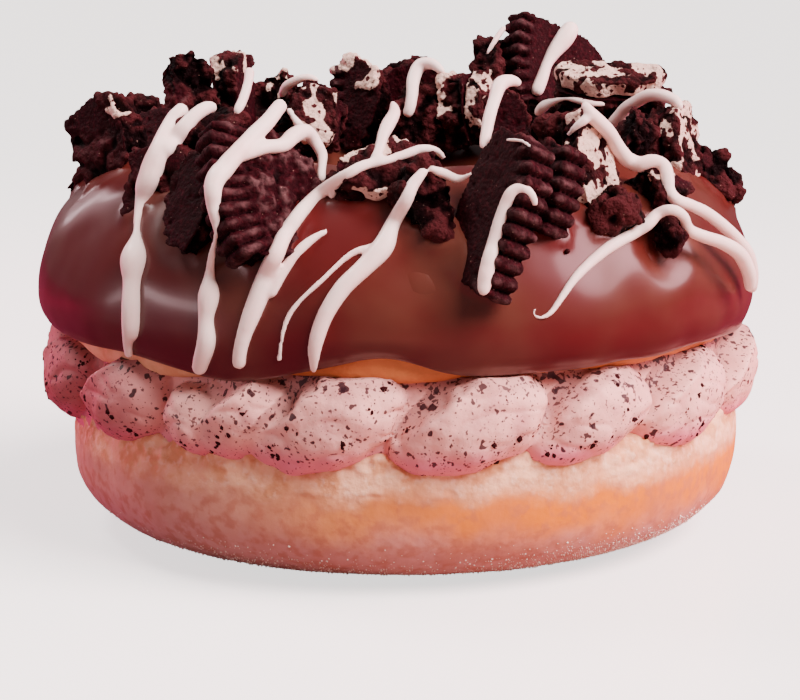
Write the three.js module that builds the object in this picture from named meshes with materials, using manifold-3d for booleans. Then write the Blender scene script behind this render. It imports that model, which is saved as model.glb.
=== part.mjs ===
// A filled ring doughnut: a sliced doughnut ring with piped cream between its halves, a poured
// chocolate glaze, broken chocolate sandwich biscuits piled on it and a thick white drizzle.
// Millimetres, +Z up. The origin is on the surface the ring stands on, under its middle, and the
// shown side faces -Y.

import * as THREE from 'three';
import { mergeVertices } from 'three/addons/utils/BufferGeometryUtils.js';
import Module from 'manifold-3d';

// The gap between pieces that touch, and how near two corners are when they are one
const touch = 0.3;
const weld = 1e-4;

// Driving dimensions of the ring, seen in a cut through one side of it
const crestRadius = 28.5;
const glazeReach = 16.5;
const glazeTop = 47;
const glazeThickness = 1.5;
const glazeWidest = 30;
const glazeEdge = 25.8;
const upperCut = 25.2;
const lowerCut = 17;
const lowerWidest = 11.5;
const lowerReach = 42.3;
const lowerFoot = 27.5;
const lowerShift = 1;
const holeRadius = 13;
const bowlFullness = 0.7;
const cutRounding = 1.6;
const holeFoot = 4;
const ringTurns = 48;
const hiddenTurns = 36;

// How far the ring's outline strays from round, as a share, and the glaze's crest from level
const bunUnevenness = 0.008;
const domeUnevenness = 0.005;
const crestUnevenness = 0.5;

// The two waves in the glaze's lower edge: how deep, how many round the ring, and where they start
const edgeWaves = [
  { depth: 0.55, count: 7, start: 0.6 },
  { depth: 0.35, count: 11, start: 2 },
];

// Driving dimensions of the piped cream. A lobe sags from sagFrom to sagTo, measured from the axis.
const lobeReach = 45.9;
const creaseReach = 42.4;
const creamInside = 12.2;
const creamSquareness = 0.7;
const lobeInside = 1.2;
const lobeDroop = 3.4;
const lobeSlant = 6;
const lobeOverlap = 1.12;
const sagFrom = 38;
const sagTo = 44;
const creamTurns = 96;
const creamSides = 10;

// Driving dimensions of the biscuits. A broken corner's reach and a lump's are shares of the
// piece's half size, and a rim's ridges take rimShare of its height.
const waferThickness = 3.6;
const creamLayer = 2.4;
const creamShare = 0.9;
const biscuitRadius = 22.5;
const ridgePitch = 1.8;
const ridgeDepth = 0.5;
const ridgeFlank = 0.14;
const rimShare = 0.92;
const rimFrom = 0.28;
const brokenCorners = 8;
const cornerReach = [0.76, 1.08];
const cornerSquareness = 0.75;
const lumpReach = [0.84, 1.14];

// Driving dimensions of the drizzle: a strand is raised by a share of its width over what it lies
// on, and it breaks off where it would jump further than the longest bridge
const strandSides = 5;
const strandStep = 3.6;
const strandRise = 0.12;
const longestBridge = 3 * strandStep;

// The point from which the strands' routes are seen, and the distance at which they are measured
const eyeDistance = 260;
const eyeHeight = 67;
const eyeTilt = 10.05;
const routeDistance = 261.4;

const wasm = await Module();
wasm.setup();

const colours = {
  crust: { color: 0xc98a62, roughness: 0.75, metalness: 0 },
  dough: { color: 0xd9a87c, roughness: 0.8, metalness: 0 },
  cream: { color: 0xdcc3c0, roughness: 0.55, metalness: 0 },
  glaze: { color: 0x6b3626, roughness: 0.15, metalness: 0 },
  biscuit: { color: 0x2b1512, roughness: 0.85, metalness: 0 },
  layer: { color: 0xcdbdb0, roughness: 0.7, metalness: 0 },
};

const radians = THREE.MathUtils.degToRad;
const { lerp, smoothstep, euclideanModulo } = THREE.MathUtils;

// A repeatable stream of numbers from 0 to 1: a linear congruential generator
function randomFrom(seed) {
  const modulus = 2 ** 32;
  const factor = 1664525;
  const step = 1013904223;
  let state = seed * 7919 + 17;
  return () => {
    state = (state * factor + step) % modulus;
    return state / modulus;
  };
}

// A signed power: below 1 it makes a circle's cosine and sine those of a squarer curve
function squared(value, power) {
  return Math.sign(value) * Math.abs(value) ** power;
}

// A slow uneven swell round the ring, from about -1 to 1
function swell(angle, phase) {
  const waves = Math.sin(2 * angle + phase) + Math.sin(3 * angle + 2 * phase) + Math.sin(5 * angle);
  return waves / 2.4;
}

// Geometry with its shared corners joined
function welded(geometry) {
  geometry.deleteAttribute('normal');
  geometry.deleteAttribute('uv');
  return mergeVertices(geometry, weld);
}

// Closed geometry to a solid
function solidFrom(geometry) {
  const joined = welded(geometry);
  const vertProperties = new Float32Array(joined.attributes.position.array);
  const triVerts = new Uint32Array(joined.index.array);
  return new wasm.Manifold(new wasm.Mesh({ numProp: 3, vertProperties, triVerts }));
}

// A solid back to geometry
function geometryFrom(solid) {
  const mesh = solid.getMesh();
  const geometry = new THREE.BufferGeometry();
  geometry.setAttribute('position', new THREE.BufferAttribute(new Float32Array(mesh.vertProperties), 3));
  geometry.setIndex(new THREE.BufferAttribute(new Uint32Array(mesh.triVerts), 1));
  geometry.computeVertexNormals();
  return geometry;
}

// The largest of the bodies that a cut has left
function largestOf(solid) {
  const bodies = solid.decompose();
  return bodies.reduce((best, body) => (body.volume() > best.volume() ? body : best));
}

// A closed outline moved outwards by a margin. The outline runs anticlockwise.
function outset(points, margin) {
  const count = points.length;
  return points.map((point, i) => {
    const before = points[(i + count - 1) % count];
    const after = points[(i + 1) % count];
    const along = new THREE.Vector2().subVectors(after, before).normalize();
    return new THREE.Vector2(point.x + along.y * margin, point.y - along.x * margin);
  });
}

// A ring swept round Z from a closed outline of radius and height, then moved point by point
function ringFrom(outline, turns, move) {
  const closed = [...outline, outline[0]];
  const geometry = new THREE.LatheGeometry(closed, turns);
  geometry.rotateX(Math.PI / 2);
  const joined = welded(geometry);
  const place = joined.attributes.position;
  const point = new THREE.Vector3();
  for (let i = 0; i < place.count; i += 1) {
    point.fromBufferAttribute(place, i);
    const angle = Math.atan2(point.y, point.x);
    const moved = move(Math.hypot(point.x, point.y), point.z, angle);
    place.setXYZ(i, moved.radius * Math.cos(angle), moved.radius * Math.sin(angle), moved.height);
  }
  return solidFrom(joined);
}

// The lower half of the ring: a bowl-shaped side, a flat cut on top and a flat foot
function lowerBun(margin) {
  const outline = [];
  const bowlSteps = 5;
  for (let i = 0; i <= bowlSteps; i += 1) {
    const turn = (i / bowlSteps) * (Math.PI / 2);
    const radius = lowerFoot + (lowerReach - lowerFoot) * Math.sin(turn);
    const height = lowerWidest * (1 - Math.cos(turn) ** bowlFullness);
    outline.push(new THREE.Vector2(radius, height));
  }
  outline.push(new THREE.Vector2(lowerReach - cutRounding / 3, lowerCut - cutRounding));
  outline.push(new THREE.Vector2(lowerReach - cutRounding, lowerCut));
  outline.push(new THREE.Vector2(holeRadius + cutRounding, lowerCut));
  outline.push(new THREE.Vector2(holeRadius, lowerCut - 2 * cutRounding));
  outline.push(new THREE.Vector2(holeRadius + holeFoot / 8, lowerCut / 3));
  outline.push(new THREE.Vector2(holeRadius + holeFoot, 0));
  const solid = ringFrom(outset(outline, margin), ringTurns, (radius, height, angle) => ({
    radius: radius * (1 + bunUnevenness * swell(angle, 0.7)),
    height,
  }));
  return solid.translate([lowerShift, 0, 0]);
}

// The outline of the upper half, grown by a thickness: a flat cut with a domed ring above it
function domeOutline(grown, bottom, domeSteps) {
  const outline = [];
  const reach = glazeReach - glazeThickness + grown;
  const rise = glazeTop - glazeThickness - glazeWidest + grown;
  outline.push(new THREE.Vector2(crestRadius - reach + touch * 4, bottom));
  outline.push(new THREE.Vector2(crestRadius + reach - touch * 3, bottom));
  for (let i = 0; i <= domeSteps; i += 1) {
    const turn = (i / domeSteps) * Math.PI;
    outline.push(
      new THREE.Vector2(crestRadius + reach * Math.cos(turn), glazeWidest + rise * Math.sin(turn)),
    );
  }
  return outline;
}

// How the upper half and its glaze swell and sink round the ring
function domeMove(radius, height, angle) {
  const lift = Math.max(0, (height - glazeWidest) / (glazeTop - glazeWidest));
  return {
    radius: radius * (1 + domeUnevenness * swell(angle, 1.9)),
    height: height + crestUnevenness * lift * swell(angle, 4.2),
  };
}

// The height of the glaze's lower edge round the ring: it hangs in low uneven scallops
function glazeEdgeAt(angle) {
  return edgeWaves.reduce(
    (height, { depth, count, start }) => height + depth * Math.sin(count * angle + start),
    glazeEdge,
  );
}

function upperBun(margin) {
  const domeSteps = 7;
  return ringFrom(domeOutline(margin, upperCut - margin, domeSteps), hiddenTurns, domeMove);
}

// The glaze is a skin over the dome, open below, with a wavy edge
function glazeShell(margin) {
  const domeSteps = 9;
  const outline = domeOutline(glazeThickness + margin, glazeEdge - margin, domeSteps);
  const outer = ringFrom(outline, ringTurns, (radius, height, angle) => {
    const moved = domeMove(radius, height, angle);
    if (height < glazeEdge + weld) {
      moved.height = glazeEdgeAt(angle) - margin;
    }
    return moved;
  });
  return outer.subtract(upperBun(touch));
}

// The piped cream: lobes round the ring, each sagging over the lower half's edge. An angle and a
// width are in degrees from the front, and full is how far a lobe swells, as a share.
const lobes = [
  { angle: -97, width: 12, full: 0.9 },
  { angle: -72, width: 12.4, full: 0.94 },
  { angle: -49, width: 11.8, full: 0.97 },
  { angle: -27, width: 10.6, full: 0.9 },
  { angle: -10.8, width: 12.8, full: 0.99 },
  { angle: 11, width: 13.2, full: 1 },
  { angle: 31, width: 12.8, full: 0.98 },
  { angle: 52, width: 13, full: 0.97 },
  { angle: 77, width: 13, full: 1 },
  ...[100, 122, 145, 168, 191, 214, 237].map((angle, i) => ({
    angle,
    width: 12,
    full: 0.88 + 0.12 * Math.cos(2 * i),
  })),
];

// How far the cream swells in a direction, from 0 in a crease to 1 on the fullest lobe
function lobeAt(angle) {
  return lobes.reduce((best, lobe) => {
    const turn = euclideanModulo(angle - lobe.angle + 180, 360) - 180;
    const share = turn / (lobe.width * lobeOverlap);
    return Math.max(best, lobe.full * Math.sqrt(Math.max(0, 1 - share * share)));
  }, 0);
}

function creamRing(margin) {
  const joined = welded(new THREE.TorusGeometry(crestRadius, 1, creamSides, creamTurns));
  const place = joined.attributes.position;
  const middle = (upperCut + lowerCut) / 2;
  const half = (upperCut - lowerCut) / 2 - touch + margin;
  for (let i = 0; i < place.count; i += 1) {
    const x = place.getX(i);
    const y = place.getY(i);
    const around = Math.atan2(y, x);
    const across = Math.atan2(place.getZ(i), Math.hypot(x, y) - crestRadius);
    const outward = squared(Math.cos(across), creamSquareness);
    const upward = squared(Math.sin(across), creamSquareness);
    const frontAngle = THREE.MathUtils.radToDeg(around) + 90;
    const lobe = lobeAt(frontAngle + lobeSlant * upward);
    const reach = lerp(creaseReach, lobeReach, lobe) + margin - crestRadius;
    const inner = crestRadius - creamInside + lobeInside * lobe + margin;
    const radius = crestRadius + (outward > 0 ? reach : inner) * outward;
    const sag = lobeDroop * lobe * smoothstep(radius, sagFrom, sagTo);
    const height = middle + half * upward - sag * smoothstep(-upward, -0.6, 0.6);
    place.setXYZ(i, radius * Math.cos(around), radius * Math.sin(around), height);
  }
  return solidFrom(joined).subtract(lowerBun(touch - margin)).subtract(upperBun(touch - margin));
}

// A broken outline: uneven corners, and on a rim piece a ridged arc of the biscuit's round edge
function brokenOutline(size, rim, seed, margin) {
  const random = randomFrom(seed);
  const [width, height] = size;
  const points = [];
  const start = random();
  for (let i = 0; i < brokenCorners; i += 1) {
    const turn = ((i + start * 0.6 + 0.4 * (random() - 0.5)) / brokenCorners) * 2 * Math.PI;
    const reach = lerp(...cornerReach, random());
    const across = (width / 2) * squared(Math.cos(turn), cornerSquareness);
    const up = (height / 2) * squared(Math.sin(turn), cornerSquareness);
    points.push(new THREE.Vector2(across * reach, up * reach));
  }
  if (!rim) {
    return outset(points, margin);
  }
  const kept = points.filter((point) => point.x < width * rimFrom);
  const opening = kept.findIndex((point) => point.y > 0);
  const ordered = [...kept.slice(opening), ...kept.slice(0, opening)];
  return outset([...ridgedArc(width / 2, height * rimShare), ...ordered], margin);
}

// The round edge of a biscuit, which reaches as far across as given, with ridges along a height
function ridgedArc(reach, height) {
  const ridges = Math.max(3, Math.round(height / ridgePitch));
  const centre = reach - biscuitRadius;
  const ridge = [[ridgeFlank, 0], [1 - ridgeFlank, 0], [1, ridgeDepth]];
  const arc = [];
  for (let i = 0; i < ridges; i += 1) {
    for (const [share, depth] of ridge) {
      const along = (i + share - ridges / 2) * ridgePitch;
      const turn = along / biscuitRadius;
      const radius = biscuitRadius - depth;
      arc.push(new THREE.Vector2(centre + radius * Math.cos(turn), radius * Math.sin(turn)));
    }
  }
  return arc;
}

// A flat broken slab: the outline in the X-Z plane, its face towards -Y, from one depth to another
function slab(outline, from, to, margin) {
  const shape = new THREE.Shape(outline);
  const depth = to - from + 2 * margin;
  const geometry = new THREE.ExtrudeGeometry(shape, { depth, bevelEnabled: false });
  geometry.rotateX(Math.PI / 2);
  geometry.translate(0, to + margin, 0);
  return solidFrom(geometry);
}

// A rough lump: a rounded body with uneven corners
function lump(size, seed, margin) {
  const random = randomFrom(seed);
  const joined = welded(new THREE.IcosahedronGeometry(1, 1));
  const place = joined.attributes.position;
  for (let i = 0; i < place.count; i += 1) {
    const reach = lerp(...lumpReach, random());
    place.setXYZ(
      i,
      place.getX(i) * ((size[0] / 2) * reach + margin),
      place.getY(i) * ((size[2] / 2) * reach + margin),
      place.getZ(i) * ((size[1] / 2) * reach + margin),
    );
  }
  return solidFrom(joined);
}

// The kinds of broken biscuit. at is the middle. turn is the way the flat face looks: right of the
// front, up, and then the roll of the piece, anticlockwise. size is the width and height of the
// face, and for a rough lump its width, height and depth. layers are listed from the back of the
// piece to its face.
function wafer(name, at, turn, size) {
  return { name, at, turn, size, layers: ['wafer'], rim: false };
}

function rimWafer(name, at, turn, size) {
  return { ...wafer(name, at, turn, size), rim: true };
}

function sandwich(name, at, turn, size) {
  return { ...wafer(name, at, turn, size), layers: ['wafer', 'cream'] };
}

function chunk(name, at, size) {
  return { ...wafer(name, at, [0, 0, 0], size), layers: ['chunk'] };
}

const biscuits = [
  rimWafer('front_rim', [10.8, -41.6, 42.6], [-50, 20, -6], [10, 19.4]),
  rimWafer('big_rim', [-14, -36.6, 44.8], [34, 30, 176], [14.5, 17.5]),
  sandwich('right_sandwich', [20.8, -29.2, 46.2], [50, 12, 4], [9.5, 15.5]),
  wafer('left_face', [-35.4, -9.5, 47.4], [-38, 8, 8], [12.4, 16.4]),
  rimWafer('rear_rim', [21.6, 22, 56.2], [32, 14, 168], [15, 14]),
  sandwich('shelf', [28, 9, 53.6], [6, 62, -4], [17.5, 8]),
  sandwich('middle_sandwich', [-0.9, -35, 46.2], [14, 34, 4], [13, 8.4]),
  wafer('front_point', [3.6, -38.8, 43.8], [24, 26, 6], [6.2, 10.4]),
  rimWafer('behind_rim', [16.2, -35.6, 44.8], [-48, 20, 0], [8, 11]),
  wafer('left_dark', [-21.6, -35, 43.6], [-42, 24, 4], [8, 13]),
  wafer('left_inner', [-26.8, -26.4, 45], [-22, 16, 0], [9.8, 10.4]),
  wafer('left_flat', [-21.4, -22.6, 50.6], [10, 56, 0], [8, 7.4]),
  wafer('left_spike', [-27, 11, 52.4], [28, 10, 8], [7.2, 13.4]),
  wafer('left_blade', [-21.6, 15, 51.8], [74, 6, -6], [8, 12.6]),
  chunk('left_knob', [-32.6, 3.5, 49.6], [7.8, 8.4, 7.4]),
  wafer('rear_small', [-16.4, 21, 50.8], [-12, 24, 10], [7.6, 10.4]),
  sandwich('cream_top', [-10.8, 14.4, 49.4], [8, 26, -6], [8.2, 11]),
  rimWafer('rear_left_rim', [-4.7, 20.5, 51.4], [-34, 14, 186], [8.4, 12.6]),
  chunk('rear_middle', [3.4, 18, 48.8], [9.8, 12, 7.6]),
  wafer('rear_back', [1.8, 27, 53], [10, -8, 10], [9, 9]),
  sandwich('rear_line', [10.2, 16.4, 50.6], [56, 8, -4], [8.6, 12.6]),
  wafer('rear_slim', [13.6, 20.6, 56], [66, 4, -16], [8.4, 11]),
  wafer('inner_right', [14, -12.8, 49], [-14, 16, 6], [6, 12.6]),
  chunk('right_knob', [28.4, -16, 49.2], [6.4, 7.6, 6.4]),
  sandwich('right_blade', [33.2, -8.6, 47.6], [58, 12, -12], [9, 11.6]),
  wafer('far_right', [39.4, -5, 43.8], [38, 30, -28], [7.8, 7]),
  chunk('right_low', [24.2, -33.2, 42.8], [6.8, 6.4, 5.6]),
  wafer('right_small', [29.8, -26.8, 44.2], [22, 30, 6], [5.4, 7]),
  chunk('round_crumb', [30.6, -31.4, 39.4], [4.4, 4.4, 4.4]),
  rimWafer('back_rim', [-9, 41.5, 42.2], [132, 20, -6], [10, 17]),
  sandwich('back_sandwich', [9.6, 35.6, 43.8], [160, 34, -8], [10, 12]),
  wafer('back_right', [26, 30, 43], [140, 30, 8], [8.6, 10]),
  wafer('back_left', [-25, 27.6, 43.6], [222, 28, 0], [9.4, 11]),
  wafer('back_side', [36, 15, 42.6], [112, 30, 10], [8, 8.6]),
  chunk('back_knob', [-36.6, 12.8, 42], [6.4, 6, 6]),
  chunk('shelf_prop', [25, 5.6, 49.4], [8.4, 7, 7]),
  chunk('rear_prop', [19.4, 18.4, 49.4], [9.4, 7, 8]),
  wafer('left_crest', [-29.6, -4.6, 48.6], [-30, 30, 20], [9, 8]),
  wafer('left_side', [-38.4, 2.4, 43.6], [-86, 36, 10], [7.6, 8]),
  wafer('right_side', [34.8, 6.4, 46.4], [84, 42, 0], [8, 8]),
  chunk('right_rear', [31.6, 22.4, 45.4], [6.2, 5.6, 6]),
  wafer('back_crest', [-3, 30.6, 48.6], [172, 52, 12], [8.4, 8]),
  wafer('back_top', [13.4, 29.2, 49], [204, 40, 0], [8, 8.6]),
  chunk('back_inner', [-16.6, 28.6, 48], [6.6, 5.4, 5.6]),
  chunk('back_bit', [1.4, 42.2, 37.6], [4.4, 4, 4.2]),
];

// Turn and place a solid that was made facing the front
function placed(solid, at, turn) {
  const [right, up, roll] = turn;
  const matrix = new THREE.Matrix4().makeRotationZ(radians(right));
  matrix.multiply(new THREE.Matrix4().makeRotationX(radians(-up)));
  matrix.multiply(new THREE.Matrix4().makeRotationY(radians(-roll)));
  matrix.setPosition(...at);
  return solid.transform(matrix.elements);
}

// Every layer of one broken biscuit: its node name, its finish and a way to make it with a margin
function layersOf(piece, index) {
  const thick = { wafer: waferThickness, cream: creamLayer, chunk: 0 };
  const total = piece.layers.reduce((sum, layer) => sum + thick[layer], 0);
  let back = total / 2;
  return piece.layers.map((layer, i) => {
    const seed = index * 10 + i + 3;
    const name = `${piece.name}_${layer}`;
    if (layer === 'chunk') {
      const make = (margin) => placed(lump(piece.size, seed, margin), piece.at, piece.turn);
      return { name, finish: 'biscuit', make };
    }
    const gap = i > 0 ? touch : 0;
    const to = back - gap;
    const from = back - thick[layer];
    back = from;
    const share = layer === 'cream' ? creamShare : 1;
    const size = piece.size.map((length) => length * share);
    const rim = layer === 'wafer' && piece.rim;
    const make = (margin) => {
      const outline = brokenOutline(size, rim, seed, margin);
      return placed(slab(outline, from, to, margin), piece.at, piece.turn);
    };
    return { name, finish: layer === 'wafer' ? 'biscuit' : 'layer', make };
  });
}

// The strands of white drizzle. Each route is a list of places across and up, as seen from the
// eye point at the ring's middle; width is the strand's thickness.
function strand(width, route) {
  return { width, route, side: 1 };
}

// A strand on the far side, with its route seen from behind
function farStrand(width, route) {
  return { width, route, side: -1 };
}

const strands = [
  strand(2.3, [[-26.9, 31.2], [-29.6, 26.6], [-31.6, 21], [-32.9, 14.5], [-33.4, 5.6], [-33.9, -0.9]]),
  strand(2.1, [[-22.8, 30.9], [-25.5, 29.8], [-29, 26]]),
  strand(2.2, [
    [-14.2, 31.5], [-19.2, 26.1], [-22.8, 21.9], [-22.8, 14.8], [-23.6, 7], [-23.9, 1.2], [-25, -2.9],
  ]),
  strand(2, [[-20, 24.8], [-16.4, 25.8], [-11.5, 27.8], [-9.4, 24.9], [-9.5, 21.4]]),
  strand(2.1, [[5, 25.5], [1, 24.8], [-5.6, 22.7], [-12.4, 17.1], [-16.9, 7.9], [-19.9, -2.2]]),
  strand(1.2, [[-3.4, 13.1], [-9.4, 8.8], [-13.4, 4.6], [-14.8, -1.4]]),
  strand(2.2, [[3.8, 23], [1, 18.4], [-1.6, 13], [-6.7, 7.8], [-10.1, 1], [-10.4, -2.6]]),
  strand(1.7, [[6, 35.2], [3.4, 36.4], [2, 32.4], [1.2, 29.8]]),
  strand(1.6, [[-0.2, 31], [-0.8, 28.7], [-2.6, 24.6]]),
  strand(1.4, [[-18.7, 35.9], [-19.4, 32.4], [-20.4, 30]]),
  strand(2.1, [[22.6, 41.6], [20, 38], [17.6, 32.4]]),
  strand(1.8, [[15.6, 34.2], [13, 33.6], [11.8, 29.4], [11.2, 25.8]]),
  strand(1.8, [[17.2, 19.8], [15.2, 20.4], [13, 15], [11.4, 7.4]]),
  strand(1.9, [[24.2, 31.6], [28, 26.5], [31, 23.4], [34.2, 23.1], [35.6, 19.3]]),
  strand(1.8, [[35.6, 19.3], [39.4, 17.4], [44, 13], [45.4, 8]]),
  strand(1.7, [[36, 31.2], [32.2, 32.3], [28.2, 29.4]]),
  strand(1.5, [[19, 4.4], [22.4, 8.6], [26.6, 12.6], [33.6, 17.3], [36.5, 16.9]]),
  strand(1.8, [[37.2, 15.3], [41.4, 13.6], [45, 8]]),
  farStrand(2.6, [[-30, 19], [-31, 13], [-32, 6], [-32.6, -1]]),
  farStrand(2.6, [[-17, 22], [-18, 15], [-19.6, 8], [-20.4, -2]]),
  farStrand(2.4, [[2, 16], [0.4, 10], [-1, 3], [-2, -3]]),
  farStrand(2.6, [[14, 22], [15.6, 14], [17, 7], [17.6, -1]]),
  farStrand(2.4, [[29, 19], [31, 12], [32.6, 6], [33, 0]]),
];

// Where the strand's route meets the pieces below it, and on which piece
function landings({ route, side }, meshes) {
  const tilt = radians(eyeTilt);
  const eye = new THREE.Vector3(0, -side * eyeDistance, eyeHeight);
  const ahead = new THREE.Vector3(0, side * Math.cos(tilt), -Math.sin(tilt));
  const upward = new THREE.Vector3(0, side * Math.sin(tilt), Math.cos(tilt));
  const across = new THREE.Vector3(side, 0, 0);
  const curve = new THREE.CatmullRomCurve3(route.map(([x, up]) => new THREE.Vector3(x, up, 0)));
  const steps = Math.max(3, Math.round(curve.getLength() / strandStep));
  const caster = new THREE.Raycaster();
  return curve.getSpacedPoints(steps).map((spot) => {
    const look = ahead.clone().multiplyScalar(routeDistance);
    look.addScaledVector(across, spot.x).addScaledVector(upward, spot.y);
    caster.set(eye, look.normalize());
    const [hit] = caster.intersectObjects(meshes, false);
    return hit ? { node: hit.object.name, point: hit.point, normal: hit.face.normal } : null;
  });
}

// A closed strand through a few points, half sunk in what it lies on
function strandSolid(run, width) {
  const rise = width * strandRise;
  const points = run.map(({ point, normal }) => point.clone().addScaledVector(normal, rise));
  const path = new THREE.CatmullRomCurve3(points);
  const section = new THREE.Shape();
  for (let i = 0; i < strandSides; i += 1) {
    const turn = (i / strandSides) * 2 * Math.PI;
    const move = i === 0 ? 'moveTo' : 'lineTo';
    section[move]((width / 2) * Math.cos(turn), (width / 2) * Math.sin(turn));
  }
  const options = { steps: Math.max(2, run.length - 1), extrudePath: path, bevelEnabled: false };
  return solidFrom(new THREE.ExtrudeGeometry(section, options));
}

// Stretches of a strand that lie on one piece
function runsOf(spots) {
  const runs = [];
  let run = [];
  for (const spot of [...spots, null]) {
    const last = run[run.length - 1];
    const sameNode = spot && last && spot.node === last.node;
    if (!sameNode || spot.point.distanceTo(last.point) > longestBridge) {
      if (run.length > 1) {
        runs.push(run);
      }
      run = [];
    }
    if (spot) {
      run.push(spot);
    }
  }
  return runs;
}

// A solid cut clear of some nodes
function clearOf(solid, others) {
  return others.flatMap((other) => other.grown).reduce((rest, grown) => rest.subtract(grown), solid);
}

// Make the pieces in turn, each cut clear of those already made. A node's grown solids are its own
// shapes with the gap round them.
const doughnut = [
  { name: 'lower_bun', finish: 'crust', make: lowerBun },
  { name: 'cream_filling', finish: 'cream', make: creamRing },
  { name: 'upper_bun', finish: 'dough', make: upperBun },
  { name: 'chocolate_glaze', finish: 'glaze', make: glazeShell },
];
const nodes = doughnut.map(({ name, finish, make }) => (
  { name, finish, solid: make(0), grown: [make(touch)] }
));
for (const { name, finish, make } of biscuits.flatMap(layersOf)) {
  nodes.push({ name, finish, solid: largestOf(clearOf(make(0), nodes)), grown: [make(touch)] });
}

// Lay the strands on the pieces, fused to what they lie on and clear of the others
const bare = nodes.map((node) => {
  const mesh = new THREE.Mesh(geometryFrom(node.solid));
  mesh.name = node.name;
  return mesh;
});
for (const laid of strands) {
  for (const run of runsOf(landings(laid, bare))) {
    const home = nodes.find((node) => node.name === run[0].node);
    const others = nodes.filter((node) => node !== home);
    const tube = clearOf(strandSolid(run, laid.width), others);
    home.solid = largestOf(home.solid.add(tube));
    home.grown.push(strandSolid(run, laid.width + 2 * touch));
  }
}

// The whole doughnut, one named mesh for each piece
const group = new THREE.Group();
for (const node of nodes) {
  const material = new THREE.MeshStandardMaterial(colours[node.finish]);
  const mesh = new THREE.Mesh(geometryFrom(node.solid), material);
  mesh.name = node.name;
  group.add(mesh);
}

export default group;
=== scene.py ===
"""A filled ring doughnut with a chocolate glaze, broken biscuits and a white drizzle.

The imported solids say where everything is. This script makes the fine surfaces around them: the
fried crust, the piped cream, the poured glaze, the crumbly biscuits and the drizzle that runs over
them, each with a procedural finish, and sets up a pale floor, soft light and the camera.

Shapes are worked out in millimetres and turned into metres when a piece is finished. A place on
the ring is given by its front angle in degrees: 0 is the shown side, -Y, and 90 is +X.
"""

import logging
import math
import random
from dataclasses import dataclass
from enum import Enum

import bmesh
import bpy
import numpy as np
from bpy.types import Material, Mesh, Node, NodeSocket, NodeTree, Object
from mathutils import Matrix, Vector, noise
from mathutils.bvhtree import BVHTree


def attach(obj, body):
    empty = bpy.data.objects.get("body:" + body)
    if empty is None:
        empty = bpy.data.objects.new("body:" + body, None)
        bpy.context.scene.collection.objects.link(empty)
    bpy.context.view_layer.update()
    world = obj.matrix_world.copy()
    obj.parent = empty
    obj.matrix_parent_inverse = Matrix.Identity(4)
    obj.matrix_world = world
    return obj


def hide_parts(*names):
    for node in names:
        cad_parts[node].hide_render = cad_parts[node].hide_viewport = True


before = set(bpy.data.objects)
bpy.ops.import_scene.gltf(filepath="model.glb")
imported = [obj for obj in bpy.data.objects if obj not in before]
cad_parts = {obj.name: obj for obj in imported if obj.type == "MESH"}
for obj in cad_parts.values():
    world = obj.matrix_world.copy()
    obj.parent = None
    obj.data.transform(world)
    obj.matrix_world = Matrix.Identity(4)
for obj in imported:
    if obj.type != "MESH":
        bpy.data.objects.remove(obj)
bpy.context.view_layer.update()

log = logging.getLogger("doughnut")

METRES = 0.001
BODY = "root"
# How far one seed is from the next in the unevenness and in the heaps of grains.
WAVE_SHIFT = 7.31
GRAIN_SHIFT = 3.77

Colour = tuple[float, float, float, float]
Ends = tuple[float, float]
Spot = tuple[float, float, float]
Outline = list[tuple[float, float]]


class Slot(Enum):
    """The record's material slots."""

    CRUST = "fried_crust"
    CREAM = "piped_cream"
    GLAZE = "chocolate_glaze"
    BISCUIT = "chocolate_biscuit"
    WHITE = "biscuit_cream"


# Reading and moving the points of a mesh


def vectors_of(mesh: Mesh, name: str) -> np.ndarray:
    """Read one property of a mesh's vertices.

    Args:
        mesh: The mesh to read.
        name: The property: co or normal.

    Returns:
        One row of x, y and z for each vertex.
    """
    flat = np.empty(len(mesh.vertices) * 3, np.float32)
    mesh.vertices.foreach_get(name, flat)
    return flat.reshape(-1, 3).astype(float)


def points_of(mesh: Mesh) -> np.ndarray:
    """Read where a mesh's vertices are."""
    return vectors_of(mesh, "co")


def normals_of(mesh: Mesh) -> np.ndarray:
    """Read the way out at each of a mesh's vertices."""
    return vectors_of(mesh, "normal")


def put_points(mesh: Mesh, points: np.ndarray) -> None:
    """Move a mesh's vertices to new points, one row for each vertex."""
    mesh.vertices.foreach_set("co", points.astype(np.float32).ravel())
    mesh.update()


def keep_values(mesh: Mesh, name: str, values: np.ndarray) -> None:
    """Store a number for each vertex under a name, for a material to read."""
    layer = mesh.attributes.new(name, "FLOAT", "POINT")
    layer.data.foreach_set("value", values.astype(np.float32))


def note_surface(mesh: Mesh, broken: np.ndarray, raised: np.ndarray, smeared: np.ndarray) -> None:
    """Store how broken, raised and smeared each place is, from 0 to 1, for the biscuit's finish."""
    for name, values in (("broken", broken), ("raised", raised), ("smeared", smeared)):
        keep_values(mesh, name, values)


def smooth_step(values: np.ndarray, low: float, high: float) -> np.ndarray:
    """Rise softly from 0 at low to 1 at high, which may be the smaller of the two."""
    share = np.clip((values - low) / (high - low), 0, 1)
    return share * share * (3 - 2 * share)


def waves(points: np.ndarray, size: float, seed: float) -> np.ndarray:
    """Read unevenness from about -1 to 1: its size is in millimetres, and seed picks a stretch."""
    shifted = points / size + seed * WAVE_SHIFT
    return np.fromiter((noise.noise(place) for place in shifted.tolist()), float, len(points))


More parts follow.
